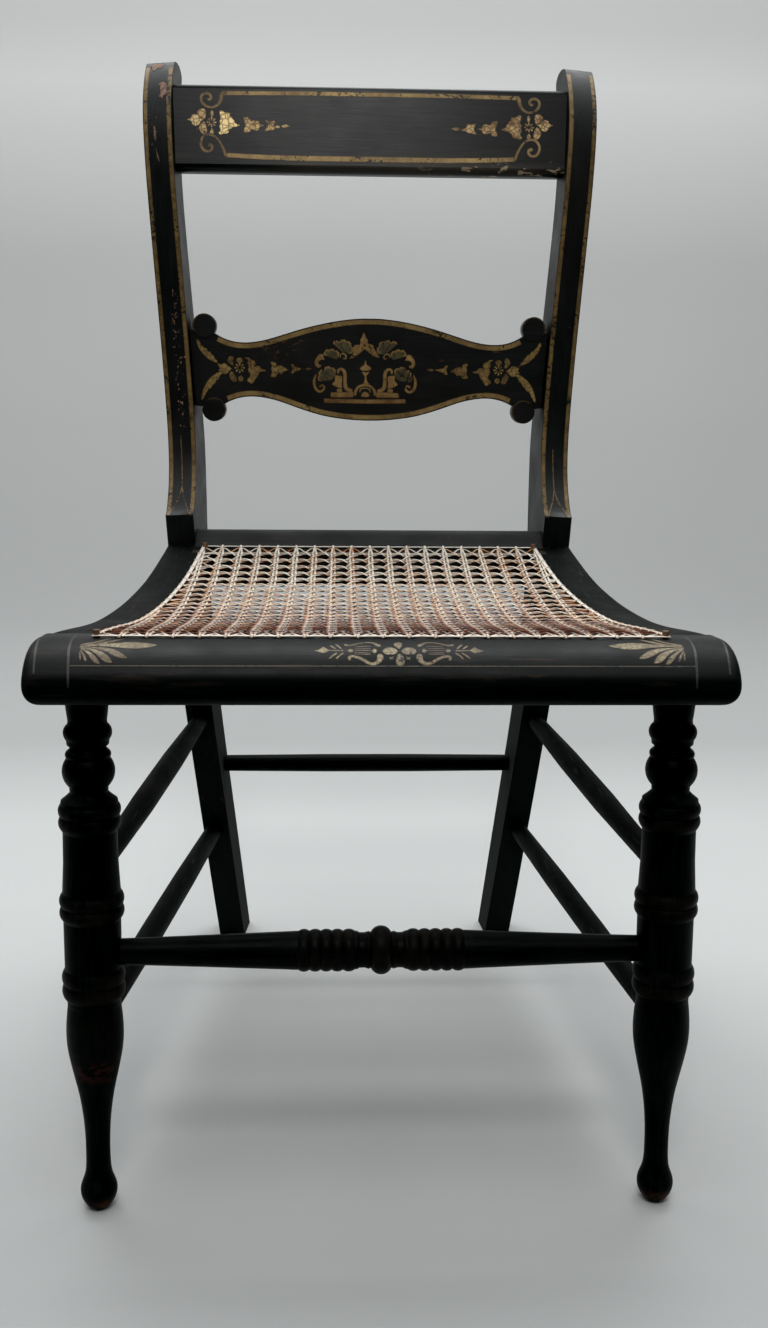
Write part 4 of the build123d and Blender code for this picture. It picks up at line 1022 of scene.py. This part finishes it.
stile = Art("stencil_post_lines")
for s in (-1, 1):
    node = "back_post_right" if s > 0 else "back_post_left"
    zs = np.arange(441.8, 834.5, 2.0)
    for a, b in ((0.55, 4.1), (21.1, 25.0)):
        A = [(stile_x(z, a / POST_W), z) for z in zs]
        B = [(stile_x(z, b / POST_W), z) for z in zs]
        loop = [np.array((s * x, z)) for x, z in A + B[::-1]]
        if s < 0:
            loop = loop[::-1]
        stile.add(loop, node, RAY_FRONT, 0.42, grid=1.1)
    stem = [(510.5, 0.458), (487.0, 0.475), (466.0, 0.49)] if s < 0 else \
           [(500.4, 0.56), (482.0, 0.54), (464.0, 0.525)]
    forks = ((444.0, 0.17), (444.0, 0.79)) if s < 0 else ((441.8, 0.10), (441.8, 0.86))
    lines = [stem]
    z0, t0 = stem[-1]
    for z1, t1 in forks:
        lines.append([(z0, t0), (z0 + (z1 - z0) * 0.45, t0 + (t1 - t0) * 0.30), (z1, t1)])
    for ln in lines:
        pts = [(s * stile_x(z, t), z, 0.95) for z, t in ln]
        stile.add(ribbon_outline(catmull(pts, False, 1.5)), node, RAY_FRONT, 0.62, grid=1.2)
stile.build(GOLD_POST, "gold_stencil")

# front roll ------------------------------------------------------------------
roll_mid = Art("stencil_roll_centre")
roll_fan = Art("stencil_roll_fans")
thin = Art("stencil_roll_lines")
ROLL_ONCE = ("r_f_t", "r_f_b", "r_dot2", "r_f_r")
for name, (kind, pts) in ROLL_ART.items():
    if name in ("r_dot2", "r_f_r"):
        continue
    for loop in outlines_of(kind, pts):
        if name.startswith("r_"):
            roll_mid.add(loop, "seat_front_roll", RAY_ROLL, 0.26, grid=0.8)
            if name not in ROLL_ONCE:
                roll_mid.add(mirrored(loop, 9.4), "seat_front_roll", RAY_ROLL, 0.18, grid=0.8)
        elif name.startswith("f_"):
            roll_fan.add(loop, "seat_front_roll", RAY_ROLL, 0.30 if name == "f_main" else 0.10, grid=0.9)
            roll_fan.add(mirrored(loop), "seat_front_roll", RAY_ROLL, 0.22, grid=0.9)
        else:
            thin.add(loop, "seat_front_roll", RAY_ROLL, 0.22, fade=0.62, grid=1.1)
            thin.add(mirrored(loop), "seat_front_roll", RAY_ROLL, 0.22, fade=0.62, grid=1.1)
strip = [(x, 137.3, 1.0) for x in range(-196, 197, 8)]
thin.add(ribbon_outline(strip, "flat"), "seat_front_roll", RAY_ROLL, 0.40, fade=0.15, grid=1.1)
roll_mid.build(GOLD_PALE, "gold_stencil")
roll_fan.build(GOLD_PALE, "gold_stencil")
thin.build(GOLD_THIN, "gold_stencil")

# places where the paint has flaked off the left post -------------------------
WORN = {
    "w_a": [(-196.2, 832.7), (-195.3, 836.8), (-191.7, 837.7), (-186.6, 837.7), (-184.5, 836.1), (-186.6, 832.7), (-190.2, 832.0), (-193.3, 829.3)],
    "w_b": [(-187.9, 817.8), (-186.4, 819.7), (-183.4, 819.0), (-180.9, 817.2), (-180.0, 810.6), (-181.1, 807.2), (-183.1, 806.0), (-183.6, 801.5), (-184.6, 800.3), (-185.6, 803.8), (-188.1, 804.9), (-186.1, 808.3), (-187.0, 812.3)],
    "w_c": [(-180.7, 808.3), (-179.5, 808.1), (-179.3, 796.9), (-180.3, 796.9)],
    "w_d": [(-194.9, 793.0), (-194.6, 788.0), (-195.4, 783.7), (-196.0, 783.9), (-195.4, 788.0)],
    "w_e": [(-195.3, 781.5), (-193.8, 781.0), (-191.7, 780.2), (-192.0, 779.4), (-193.8, 780.0)],
    "w_f": [(-191.7, 779.4), (-189.7, 777.2), (-188.8, 768.6), (-190.4, 766.5), (-191.8, 772.9)],
    "w_g": [(-190.7, 766.5), (-188.6, 758.1), (-186.5, 748.8), (-187.3, 748.6), (-189.4, 756.0)],
}
flaked = Art("flaked_places")
for name, pts in WORN.items():
    flaked.add(catmull(pts, True, 0.5), "back_post_left", RAY_FRONT, 0.5, grid=0.7, lift=0.14)
FLAKES = [((-172.5, 640.0), (-179.0, 585.0), 60, 0.75), ((-168.0, 585.0), (-177.0, 560.0), 26, 0.8),
          ((-169.0, 560.0), (-175.0, 515.0), 24, 0.9), ((-186.0, 800.0), (-196.0, 745.0), 18, 0.6)]
for (x0, z0), (x1, z1), count, size in FLAKES:
    for _ in range(count):
        cx, cz = rng.uniform(min(x0, x1), max(x0, x1)), rng.uniform(z1, z0)
        w, h = size * rng.uniform(0.35, 0.9), size * rng.uniform(0.8, 2.6)
        pts = [(cx + w * math.cos(a) * rng.uniform(0.6, 1.2), cz + h * math.sin(a) * rng.uniform(0.6, 1.2))
               for a in [k * math.tau / 7 for k in range(7)]]
        flaked.add(catmull(pts, True, 0.5), "back_post_left", RAY_FRONT, rng.random(), grid=0.6, lift=0.14)
flaked.build(worn_spot("flaked_paint", (0.42, 0.27, 0.19), (0.13, 0.045, 0.030)), "painted_wood")

# ---------------------------------------------------------------------------
# the woven cane seat: pairs front to back, pairs side to side, and two sets of
# diagonals, laced through a hole every 16 to 17 mm and covered by a binder
# ---------------------------------------------------------------------------
ST = sorted(SEAT_TOP)
ST_Y = np.array([p[0] for p in ST])
ST_Z = np.array([p[1] for p in ST])
_fine_y = np.linspace(ST_Y[0], ST_Y[-1], 1200)
_slope = np.gradient(ST_Z, ST_Y)
_i = np.clip(np.searchsorted(ST_Y, _fine_y, side="right") - 1, 0, len(ST_Y) - 2)
_h = ST_Y[_i + 1] - ST_Y[_i]
_t = (_fine_y - ST_Y[_i]) / _h
_fine_z = ((2 * _t ** 3 - 3 * _t ** 2 + 1) * ST_Z[_i] + (_t ** 3 - 2 * _t ** 2 + _t) * _h * _slope[_i]
           + (-2 * _t ** 3 + 3 * _t ** 2) * ST_Z[_i + 1] + (_t ** 3 - _t ** 2) * _h * _slope[_i + 1])


def seat_z(y):
    return np.interp(y, _fine_y, _fine_z)


YF, YB = CANE_FRONT_Y + HOLE_INSET, CANE_BACK_Y - HOLE_INSET
K = (CANE_FRONT_X - CANE_BACK_X) / (CANE_BACK_Y - CANE_FRONT_Y)
INSET_X = HOLE_INSET * math.sqrt(1 + K * K)


def side_x(y):
    return CANE_FRONT_X - K * (y - CANE_FRONT_Y) - INSET_X


PF, PB = side_x(YF) / (FRONT_HOLES / 2), side_x(YB) / (BACK_HOLES / 2)
NV = SIDE_HOLES


def y_of(v):
    return YF + (YB - YF) * np.asarray(v, float) / NV


def pitch(v):
    return PF + (PB - PF) * np.asarray(v, float) / NV


def u_edge(v):
    return side_x(y_of(v)) / pitch(v)


def side_v(u):
    """Where the column u meets the side holes."""
    lo, hi = 0.0, float(NV)
    for _ in range(40):
        m = (lo + hi) / 2
        if u_edge(m) > u:
            lo = m
        else:
            hi = m
    return lo


SECTION = [(-0.5, 0.20), (-0.27, 0.80), (0.0, 1.0), (0.27, 0.80), (0.5, 0.20), (0.0, 0.0)]


class Strands:
    def __init__(self, name):
        self.name, self.v, self.f = name, [], []
        self.att = {"tone": [], "along": [], "across": [], "deep": [], "lit": []}

    def add(self, P, width, thick, tone, deep=None, twist=None, taper=None, up=None, lit=None):
        """P is an N x 3 line in mm (the middle of the underside)."""
        P = np.asarray(P, float)
        n = len(P)
        T = np.gradient(P, axis=0)
        T /= np.linalg.norm(T, axis=1)[:, None]
        U = np.tile(np.array([0.0, 0.0, 1.0]), (n, 1)) if up is None else np.asarray(up, float)
        S = np.cross(T, U)
        S /= np.linalg.norm(S, axis=1)[:, None]
        Nn = np.cross(S, T)
        length = np.concatenate([[0], np.cumsum(np.linalg.norm(np.diff(P, axis=0), axis=1))])
        if twist is not None:
            c, s = np.cos(twist)[:, None], np.sin(twist)[:, None]
            S, Nn = S * c + Nn * s, Nn * c - S * s
        w = np.full(n, width) if taper is None else width * taper
        base = len(self.v)
        m = len(SECTION)
        for k in range(n):
            for a, b in SECTION:
                p = P[k] + S[k] * a * w[k] + Nn[k] * b * thick
                self.v.append((p[0] * MM, (p[1] - YC) * MM, p[2] * MM))
                self.att["tone"].append(tone)
                self.att["along"].append(length[k])
                self.att["across"].append(a * 2)
                self.att["deep"].append(0.0 if deep is None else float(deep[k]))
                self.att["lit"].append(0.0 if lit is None else float(lit[k]))
        for k in range(n - 1):
            for j in range(m):
                a, b = base + k * m + j, base + k * m + (j + 1) % m
                self.f.append((a, b, b + m, a + m))
        self.f.append(tuple(base + j for j in reversed(range(m))))
        self.f.append(tuple(base + (n - 1) * m + j for j in range(m)))

    def build(self, material, slot, *replaced):
        me = bpy.data.meshes.new(self.name)
        me.from_pydata(self.v, [], self.f)
        me.polygons.foreach_set("use_smooth", [True] * len(me.polygons))
        for k, vals in self.att.items():
            a = me.attributes.new(k, "FLOAT", "POINT")
            a.data.foreach_set("value", np.array(vals, np.float32))
        bm = bmesh.new()
        bm.from_mesh(me)
        bmesh.ops.recalc_face_normals(bm, faces=bm.faces)
        bm.to_mesh(me)
        bm.free()
        me.update()
        ob = bpy.data.objects.new(self.name, me)
        bpy.context.scene.collection.objects.link(ob)
        me.materials.append(material)
        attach(ob, "root")
        if replaced:
            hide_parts(*replaced)
        return ob


crng = random.Random(5)
MID = 1.12        # middle of the weave above the wood, mm
W_STRAIGHT, W_DIAG, THICK = 2.15, 2.30, 0.56
HALF_PAIR = 1.38


def tri(t, period):
    """+1 at 0, -1 at half a period, smooth."""
    return math.cos(math.tau * t / period)


def ends_drop(s, total, depth=2.6, reach=2.2):
    """Strand dives into its hole over the last few mm."""
    a = np.clip(1 - s / reach, 0, 1) ** 1.6
    b = np.clip(1 - (total - s) / reach, 0, 1) ** 1.6
    return -(a + b) * depth


def near_rim(s, total, reach=9.0):
    a = np.clip(1 - s / reach, 0, 1)
    b = np.clip(1 - (total - s) / reach, 0, 1)
    return np.maximum(a, b)


def lay(xy, height, width, tone, strands, rim_highlight=None, base_lit=0.0, base_deep=0.0):
    xy = np.asarray(xy, float)
    seg = np.linalg.norm(np.diff(xy, axis=0), axis=1)
    s = np.concatenate([[0], np.cumsum(seg)])
    rim = near_rim(s, s[-1])
    rim = rim * rim * (3 - 2 * rim)
    h = np.asarray(height) * (1 - rim) + (-0.35) * rim      # flat under the binder
    z = seat_z(xy[:, 1]) + 0.05 + MID - THICK / 2 + h + ends_drop(s, s[-1])
    ph = crng.uniform(0, 6.28)
    tw = 0.10 * np.sin(s / 31.0 + ph) * (1 - rim)
    P = np.column_stack([xy, z])
    height = np.asarray(height)
    over = np.clip(height * 2.2 - 0.2, 0, 1)
    under = np.clip(-height * 2.2 - 0.1, 0, 1)
    # painted shade where the strand runs under a crossing and over its last 3 mm into each hole; painted highlight
    # where it rides over
    deep = base_deep * (1 - over) + under * 0.85 + np.clip(1 - s / 3.0, 0, 1) + np.clip(1 - (s[-1] - s) / 3.0, 0, 1)
    lit = base_lit * (1 - under) + over * 0.85
    # towards the front, painted shade darkens the weave to red-brown between the columns, and the painted highlight
    # stays along them
    v = (xy[:, 1] - YF) / (YB - YF) * NV
    u = xy[:, 0] / pitch(v)
    gap = np.clip((np.abs(u - np.round(u)) - 0.12) / 0.15, 0, 1)
    gap = gap * gap * (3 - 2 * gap) * np.clip(1.3 - v / 8.0, 0, 1)
    # and a painted highlight, a bright knuckle, wherever a side-to-side pair goes over or under a column, with painted
    # shade on the stretches between
    knuckle = np.exp(-((v - np.round(v)) / 0.13) ** 2) * np.exp(-((u - np.round(u)) / 0.16) ** 2)
    between = np.clip(1 - knuckle * 1.3, 0, 1) * np.clip(1.3 - v / 10.0, 0.35, 1)
    deep = np.clip(deep * (1 - knuckle * 0.7) + gap * 0.46 + between * 0.20, 0, 1)
    # fewer painted highlights towards the front
    fore = np.clip(1.3 - v / 9.0, 0, 1)
    lit = np.clip((lit + knuckle * 0.55) * (1 - gap * 0.85) * (1 - 0.42 * fore), 0, 0.95)
    # painted highlight along the front rim, which also clears the painted shade there
    if rim_highlight is not None:
        lit = np.maximum(lit, rim_highlight)
        deep = deep * (1 - rim_highlight * 0.85)
    strands.add(P, width, THICK, tone, deep=deep, twist=tw, lit=lit)


def pair_wave(v, which, offset):
    """Height of one strand of a pair as it meets the crossing pairs at whole numbers."""
    h = np.zeros(len(v))
    near = np.round(v)
    d = v - near
    a = np.exp(-((d - offset) / 0.055) ** 2)
    b = np.exp(-((d + offset) / 0.055) ** 2)
    h = (a - b) if which else (b - a)
    return h * 0.45


cane = Strands("woven_cane")
STEP = 1.25

for k in range(-10, 11):
    v1 = float(NV) if abs(k) <= 9 else side_v(abs(k))
    if abs(k) > 9:
        v1 = round(v1)
    n = int(v1 * 16 / STEP)
    v = np.linspace(0, v1, n)
    for which, off in ((0, -HALF_PAIR), (1, HALF_PAIR)):
        s = v * 16.0
        pinch = 1 - near_rim(s, s[-1], 14.0) * 0.55
        wob = 0.22 * np.sin(v * 0.9 + k * 1.7 + which)
        x = k * pitch(v) + off * (pinch + 0.16 * np.cos(math.tau * v)) + wob
        if abs(k) > 9:
            x = x + np.sign(k) * near_rim(s[-1] - s, 1e9, 10.0) * 0.0
        h = pair_wave(v, which, HALF_PAIR / 16.0)
        # painted highlight: the pairs run white near the front holes; painted shade deepens towards the front
        lay(np.column_stack([x, y_of(v)]), h, W_STRAIGHT, crng.gauss(0.30, 0.22), cane,
            np.clip(1.60 - s / 11.0, 0, 1) * 0.97, 0.10, 0.08 + 0.42 * np.clip(1.2 - v / 8.0, 0, 1))

for j in range(1, NV):
    y = float(y_of(j))
    xe = side_x(y)
    n = int(2 * xe / STEP)
    x = np.linspace(-xe, xe, n)
    p = float(pitch(j))
    for which, off in ((0, -HALF_PAIR), (1, HALF_PAIR)):
        s = x + xe
        pinch = 1 - near_rim(s, s[-1], 14.0) * 0.55
        wob = 0.2 * np.sin(x / 23.0 + j * 1.3 + which)
        h = -pair_wave(x / p, which, HALF_PAIR / p) + 0.14 - 0.14 * np.cos(math.tau * x / p)
        # less painted highlight on the side-to-side pairs towards the front
        lay(np.column_stack([x, y + off * (pinch + 0.12 * np.cos(math.tau * x / p)) + wob]), h, W_STRAIGHT,
            crng.gauss(0.45, 0.20), cane, None, 0.22 - 0.16 * np.clip(1.3 - j / 7.0, 0, 1), 0.05)


def diagonal(c, sign):
    """Line u = c + sign * v clipped to the seat, its ends led into the nearest holes."""
    vs = np.linspace(0, NV, 3520)
    us = c + sign * vs
    ok = np.abs(us) <= u_edge(vs)
    if ok.sum() < 200:
        return None
    i0, i1 = np.argmax(ok), len(ok) - 1 - np.argmax(ok[::-1])
    v0, v1 = vs[i0], vs[i1]
    n = int((v1 - v0) * 16 * 1.414 / 1.9)
    v = np.linspace(v0, v1, n)
    u = c + sign * v
    # target holes
    def hole(vv, uu, at_start):
        if vv < 0.02:
            return (uu + sign * 0.5, 0.0)
        if vv > NV - 0.02:
            return (uu - sign * 0.5, float(NV))
        r = float(round(vv))
        return (math.copysign(float(u_edge(r)), uu), r)
    t0, t1 = hole(v0, u[0], True), hole(v1, u[-1], False)
    d = v - v0
    a = np.clip(1 - d / 1.35, 0, 1)
    a = a * a * (3 - 2 * a)
    e = v1 - v
    b = np.clip(1 - e / 1.35, 0, 1)
    b = b * b * (3 - 2 * b)
    uu = u + a * (t0[0] - u[0]) + b * (t1[0] - u[-1])
    vv = v + a * (t0[1] - v0) + b * (t1[1] - v1)
    return uu, vv


for sign in (1, -1):
    for a in range(-36, 37):
        c = a + 0.5
        got = diagonal(c, sign)
        if got is None:
            continue
        u, v = got
        # crosses a front-to-back pair where u is whole, a side-to-side pair where v is whole
        du = np.exp(-((u - np.round(u)) / 0.17) ** 2)
        dv = np.exp(-((v - np.round(v)) / 0.17) ** 2)
        h = (du * 0.98 - dv * 0.92) if sign > 0 else (dv * 0.98 - du * 0.92)
        # painted highlight near the front holes, and painted shade deepening towards the front
        lay(np.column_stack([u * pitch(v), y_of(v)]), h, W_DIAG, crng.gauss(0.5, 0.24), cane,
            np.clip(1.75 - v * 1.7, 0, 1) * 0.92, 0.0, 0.12 + 0.16 * np.clip(1.2 - v / 8.0, 0, 1))
cane.build(cane_mat("cane_strand", gloss=0.0), "cane", "cane_seat")

# binder strip and its ties ---------------------------------------------------
binder = Strands("cane_binder_strip")


def rim_line(a, b, n):
    t = np.linspace(0, 1, n)
    return np.column_stack([a[0] + (b[0] - a[0]) * t, a[1] + (b[1] - a[1]) * t])


corner = {"fl": (-side_x(YF), YF), "fr": (side_x(YF), YF), "bl": (-side_x(YB), YB), "br": (side_x(YB), YB)}
EDGES = [("fl", "fr", FRONT_HOLES, 1.26), ("bl", "br", BACK_HOLES, 1.30),
         ("fl", "bl", SIDE_HOLES, 1.40), ("fr", "br", SIDE_HOLES, 1.40)]
for a, b, count, lift in EDGES:
    A, B = np.array(corner[a]), np.array(corner[b])
    L = np.linalg.norm(B - A)
    d = (B - A) / L
    line = rim_line(A - d * 1.2, B + d * 1.2, int(L / 2.5))
    s = np.linspace(0, L, len(line))
    wv = 0.10 * np.cos(s / L * count * math.tau)           # pulled down at each tie
    z = seat_z(line[:, 1]) + lift - 0.10 - wv * 0.8
    mid = np.column_stack([line, z])
    # painted shade where the strip is pulled down at each tie, and painted highlight along it, strongest on the front
    # strip
    binder.add(mid, 3.9, 0.74, 0.05, deep=np.clip(np.cos(s / L * count * math.tau) - 0.75, 0, 1),
               lit=np.full(len(mid), 0.95 if a == "fl" and b == "fr" else 0.45))
    nrm = np.array([-d[1], d[0]])
    centre = np.array([0.0, (YF + YB) / 2])
    for i in range(1, count):
        c = A + (B - A) * i / count
        inward = nrm if np.dot(centre - c, nrm) > 0 else -nrm
        lean = d * crng.uniform(-0.5, 0.5)
        q = np.linspace(-1, 1, 11)
        pos = c[None] + inward[None] * (q * 2.55)[:, None] + lean[None] * q[:, None]
        arch = 2.08 - 1.5 * np.abs(q) ** 3.2
        z = seat_z(pos[:, 1]) + arch - 0.12
        # painted highlight on the ties, painted shade where they dive into the holes
        binder.add(np.column_stack([pos, z]), 2.15, 0.5, crng.gauss(0.25, 0.12),
                   deep=np.clip(np.abs(q) - 0.8, 0, 1) * 2, lit=np.full(11, 0.75))
binder.build(cane_mat("cane_binder_skin", -0.16), "cane", "cane_binder")

# ---------------------------------------------------------------------------
# camera, floor and light
# ---------------------------------------------------------------------------
def make_camera():
    th, ya, ro = 0.21329, 0.03812, 0.00945
    fwd = Vector((math.sin(ya) * math.cos(th), math.cos(ya) * math.cos(th), -math.sin(th)))
    right = Vector((math.cos(ya), -math.sin(ya), 0))
    up = right.cross(fwd)
    r2 = right * math.cos(ro) + up * math.sin(ro)
    u2 = -right * math.sin(ro) + up * math.cos(ro)
    m = Matrix((r2, u2, -fwd)).transposed().to_4x4()
    m.translation = Vector((-0.03096, -1.04008, 0.56037))
    cam = bpy.data.cameras.new("view")
    cam.sensor_fit = "AUTO"
    cam.sensor_width = 36.0
    cam.lens = 35.24
    cam.clip_start = 0.01
    cam.clip_end = 50
    ob = bpy.data.objects.new("view", cam)
    bpy.context.scene.collection.objects.link(ob)
    ob.matrix_world = m
    bpy.context.scene.camera = ob


make_camera()


def make_sweep():
    """A paper sweep: floor, a wide bend and a wall."""
    prof = [(-4.0, 0.0), (-2.0, 0.0), (-1.0, 0.0), (-0.5, 0.0), (0.0, 0.0), (0.5, 0.0), (1.0, 0.0), (1.6, 0.0)]
    R, yc = 0.9, 1.9
    for k in range(1, 17):
        a = k / 16 * math.pi / 2
        prof.append((yc + R * math.sin(a), R - R * math.cos(a)))
    prof += [(yc + R, 1.5), (yc + R, 2.2), (yc + R, 4.0)]
    xs = [-5, -3.5, -2, -1, 0, 1, 2, 3.5, 5]
    v = [(x, y, z) for y, z in prof for x in xs]
    n = len(xs)
    f = [(i * n + j, i * n + j + 1, (i + 1) * n + j + 1, (i + 1) * n + j)
         for i in range(len(prof) - 1) for j in range(n - 1)]
    me = bpy.data.meshes.new("paper_sweep")
    me.from_pydata(v, [], f)
    me.polygons.foreach_set("use_smooth", [True] * len(me.polygons))
    me.update()
    ob = bpy.data.objects.new("paper_sweep", me)
    bpy.context.scene.collection.objects.link(ob)
    g = Mat("sweep_paper", Specular_IOR_Level=0.1)
    x, y, z = g.sep()
    # painted light and shade: the floor grey rises and falls with depth and the wall grey with height, standing in for
    # how the lamps light the sweep
    shade = g.ramp(g.rng(y, -0.6, 2.9), FLOOR_GREY_AND_LIGHT)
    up = g.ramp(g.rng(z, 0.0, 2.2), WALL_GREY_AND_LIGHT)
    # painted shade: the floor in front of the chair, beyond y = -0.48, is nearly black
    shade = g.mix(g.rng(y, -0.48, -0.80, smooth=True), shade, (0.05, 0.05, 0.05))
    wallish = g.rng(y, 1.9, 2.7, smooth=True)
    col = g.mix(wallish, shade, up)
    mott = g.noise(1.3, 2.0, 0.5)
    col = g.mix(g.rng(mott, 0.3, 0.7, 0.0, 0.06), col, (0.30, 0.31, 0.31))
    g.finish(col, 0.85, g.bump(g.noise(600.0, 2.0, 0.5), 0.05, 0.0005))
    me.materials.append(g.m)


def grey(v, t=(0.985, 1.0, 0.99)):
    return tuple(v * k for k in t)


# greys of the sweep, with painted light and shade built into the ramps
FLOOR_GREY_AND_LIGHT = [(0.0, grey(0.56)), (0.113, grey(0.57)), (0.166, grey(0.60)), (0.26, grey(0.62)), (0.336, grey(0.57)),
              (0.446, grey(0.41)), (0.75, grey(0.37)), (1.0, grey(0.37))]
WALL_GREY_AND_LIGHT = [(0.0, grey(0.36)), (0.2, grey(0.45)), (0.42, grey(0.60)), (0.62, grey(0.76)), (0.69, grey(0.66)), (0.8, grey(0.62)), (1.0, grey(0.62))]
make_sweep()


def area(name, loc, target, size, power, color=(1, 1, 1), spread=180):
    li = bpy.data.lights.new(name, "AREA")
    li.shape = "RECTANGLE"
    li.size, li.size_y = size
    li.energy = power
    li.color = color
    li.spread = math.radians(spread)
    ob = bpy.data.objects.new(name, li)
    bpy.context.scene.collection.objects.link(ob)
    ob.location = loc
    ob.rotation_euler = (Vector(target) - Vector(loc)).to_track_quat("-Z", "Y").to_euler()
    return ob


area("top_back", (0.0, 1.0, 2.45), (0.0, 0.1, 0.2), (2.6, 1.3), 26, (0.97, 1.0, 1.0))
area("top_front", (-0.06, -1.50, 2.35), (-0.03, 0.2, 0.7), (0.42, 0.45), 12.0, (1.0, 0.99, 0.97))
area("wall_wash", (-0.1, 1.3, 2.9), (-0.1, 2.9, 1.1), (5.2, 0.6), 52)

world = bpy.data.worlds.new("studio")
world.use_nodes = True
bpy.context.scene.world = world
nt = world.node_tree
nt.nodes.clear()
bg = nt.nodes.new("ShaderNodeBackground")
ow = nt.nodes.new("ShaderNodeOutputWorld")
tc = nt.nodes.new("ShaderNodeTexCoord")
sx = nt.nodes.new("ShaderNodeSeparateXYZ")
nt.links.new(tc.outputs["Generated"], sx.inputs[0])
# an even soft glow from above, and little from the sides and front
rise = nt.nodes.new("ShaderNodeMapRange")
rise.interpolation_type = "SMOOTHSTEP"
nt.links.new(sx.outputs[2], rise.inputs[0])
rise.inputs[1].default_value = 0.55
rise.inputs[2].default_value = 0.97
rise.inputs[3].default_value = 0.09
rise.inputs[4].default_value = 1.25
nt.links.new(rise.outputs[0], bg.inputs["Strength"])
bg.inputs["Color"].default_value = (0.95, 0.98, 1.0, 1)
nt.links.new(bg.outputs[0], ow.inputs[0])

scene = bpy.context.scene
scene.view_settings.view_transform = "Standard"
scene.view_settings.look = "None"
scene.view_settings.exposure = 0.0
scene.view_settings.gamma = 1.0
scene.view_settings.use_curve_mapping = True
scene.view_settings.curve_mapping.black_level = (0.0024, 0.0022, 0.0023)
scene.view_settings.curve_mapping.update()

# ---------------------------------------------------------------------------
bpy.context.view_layer.update()
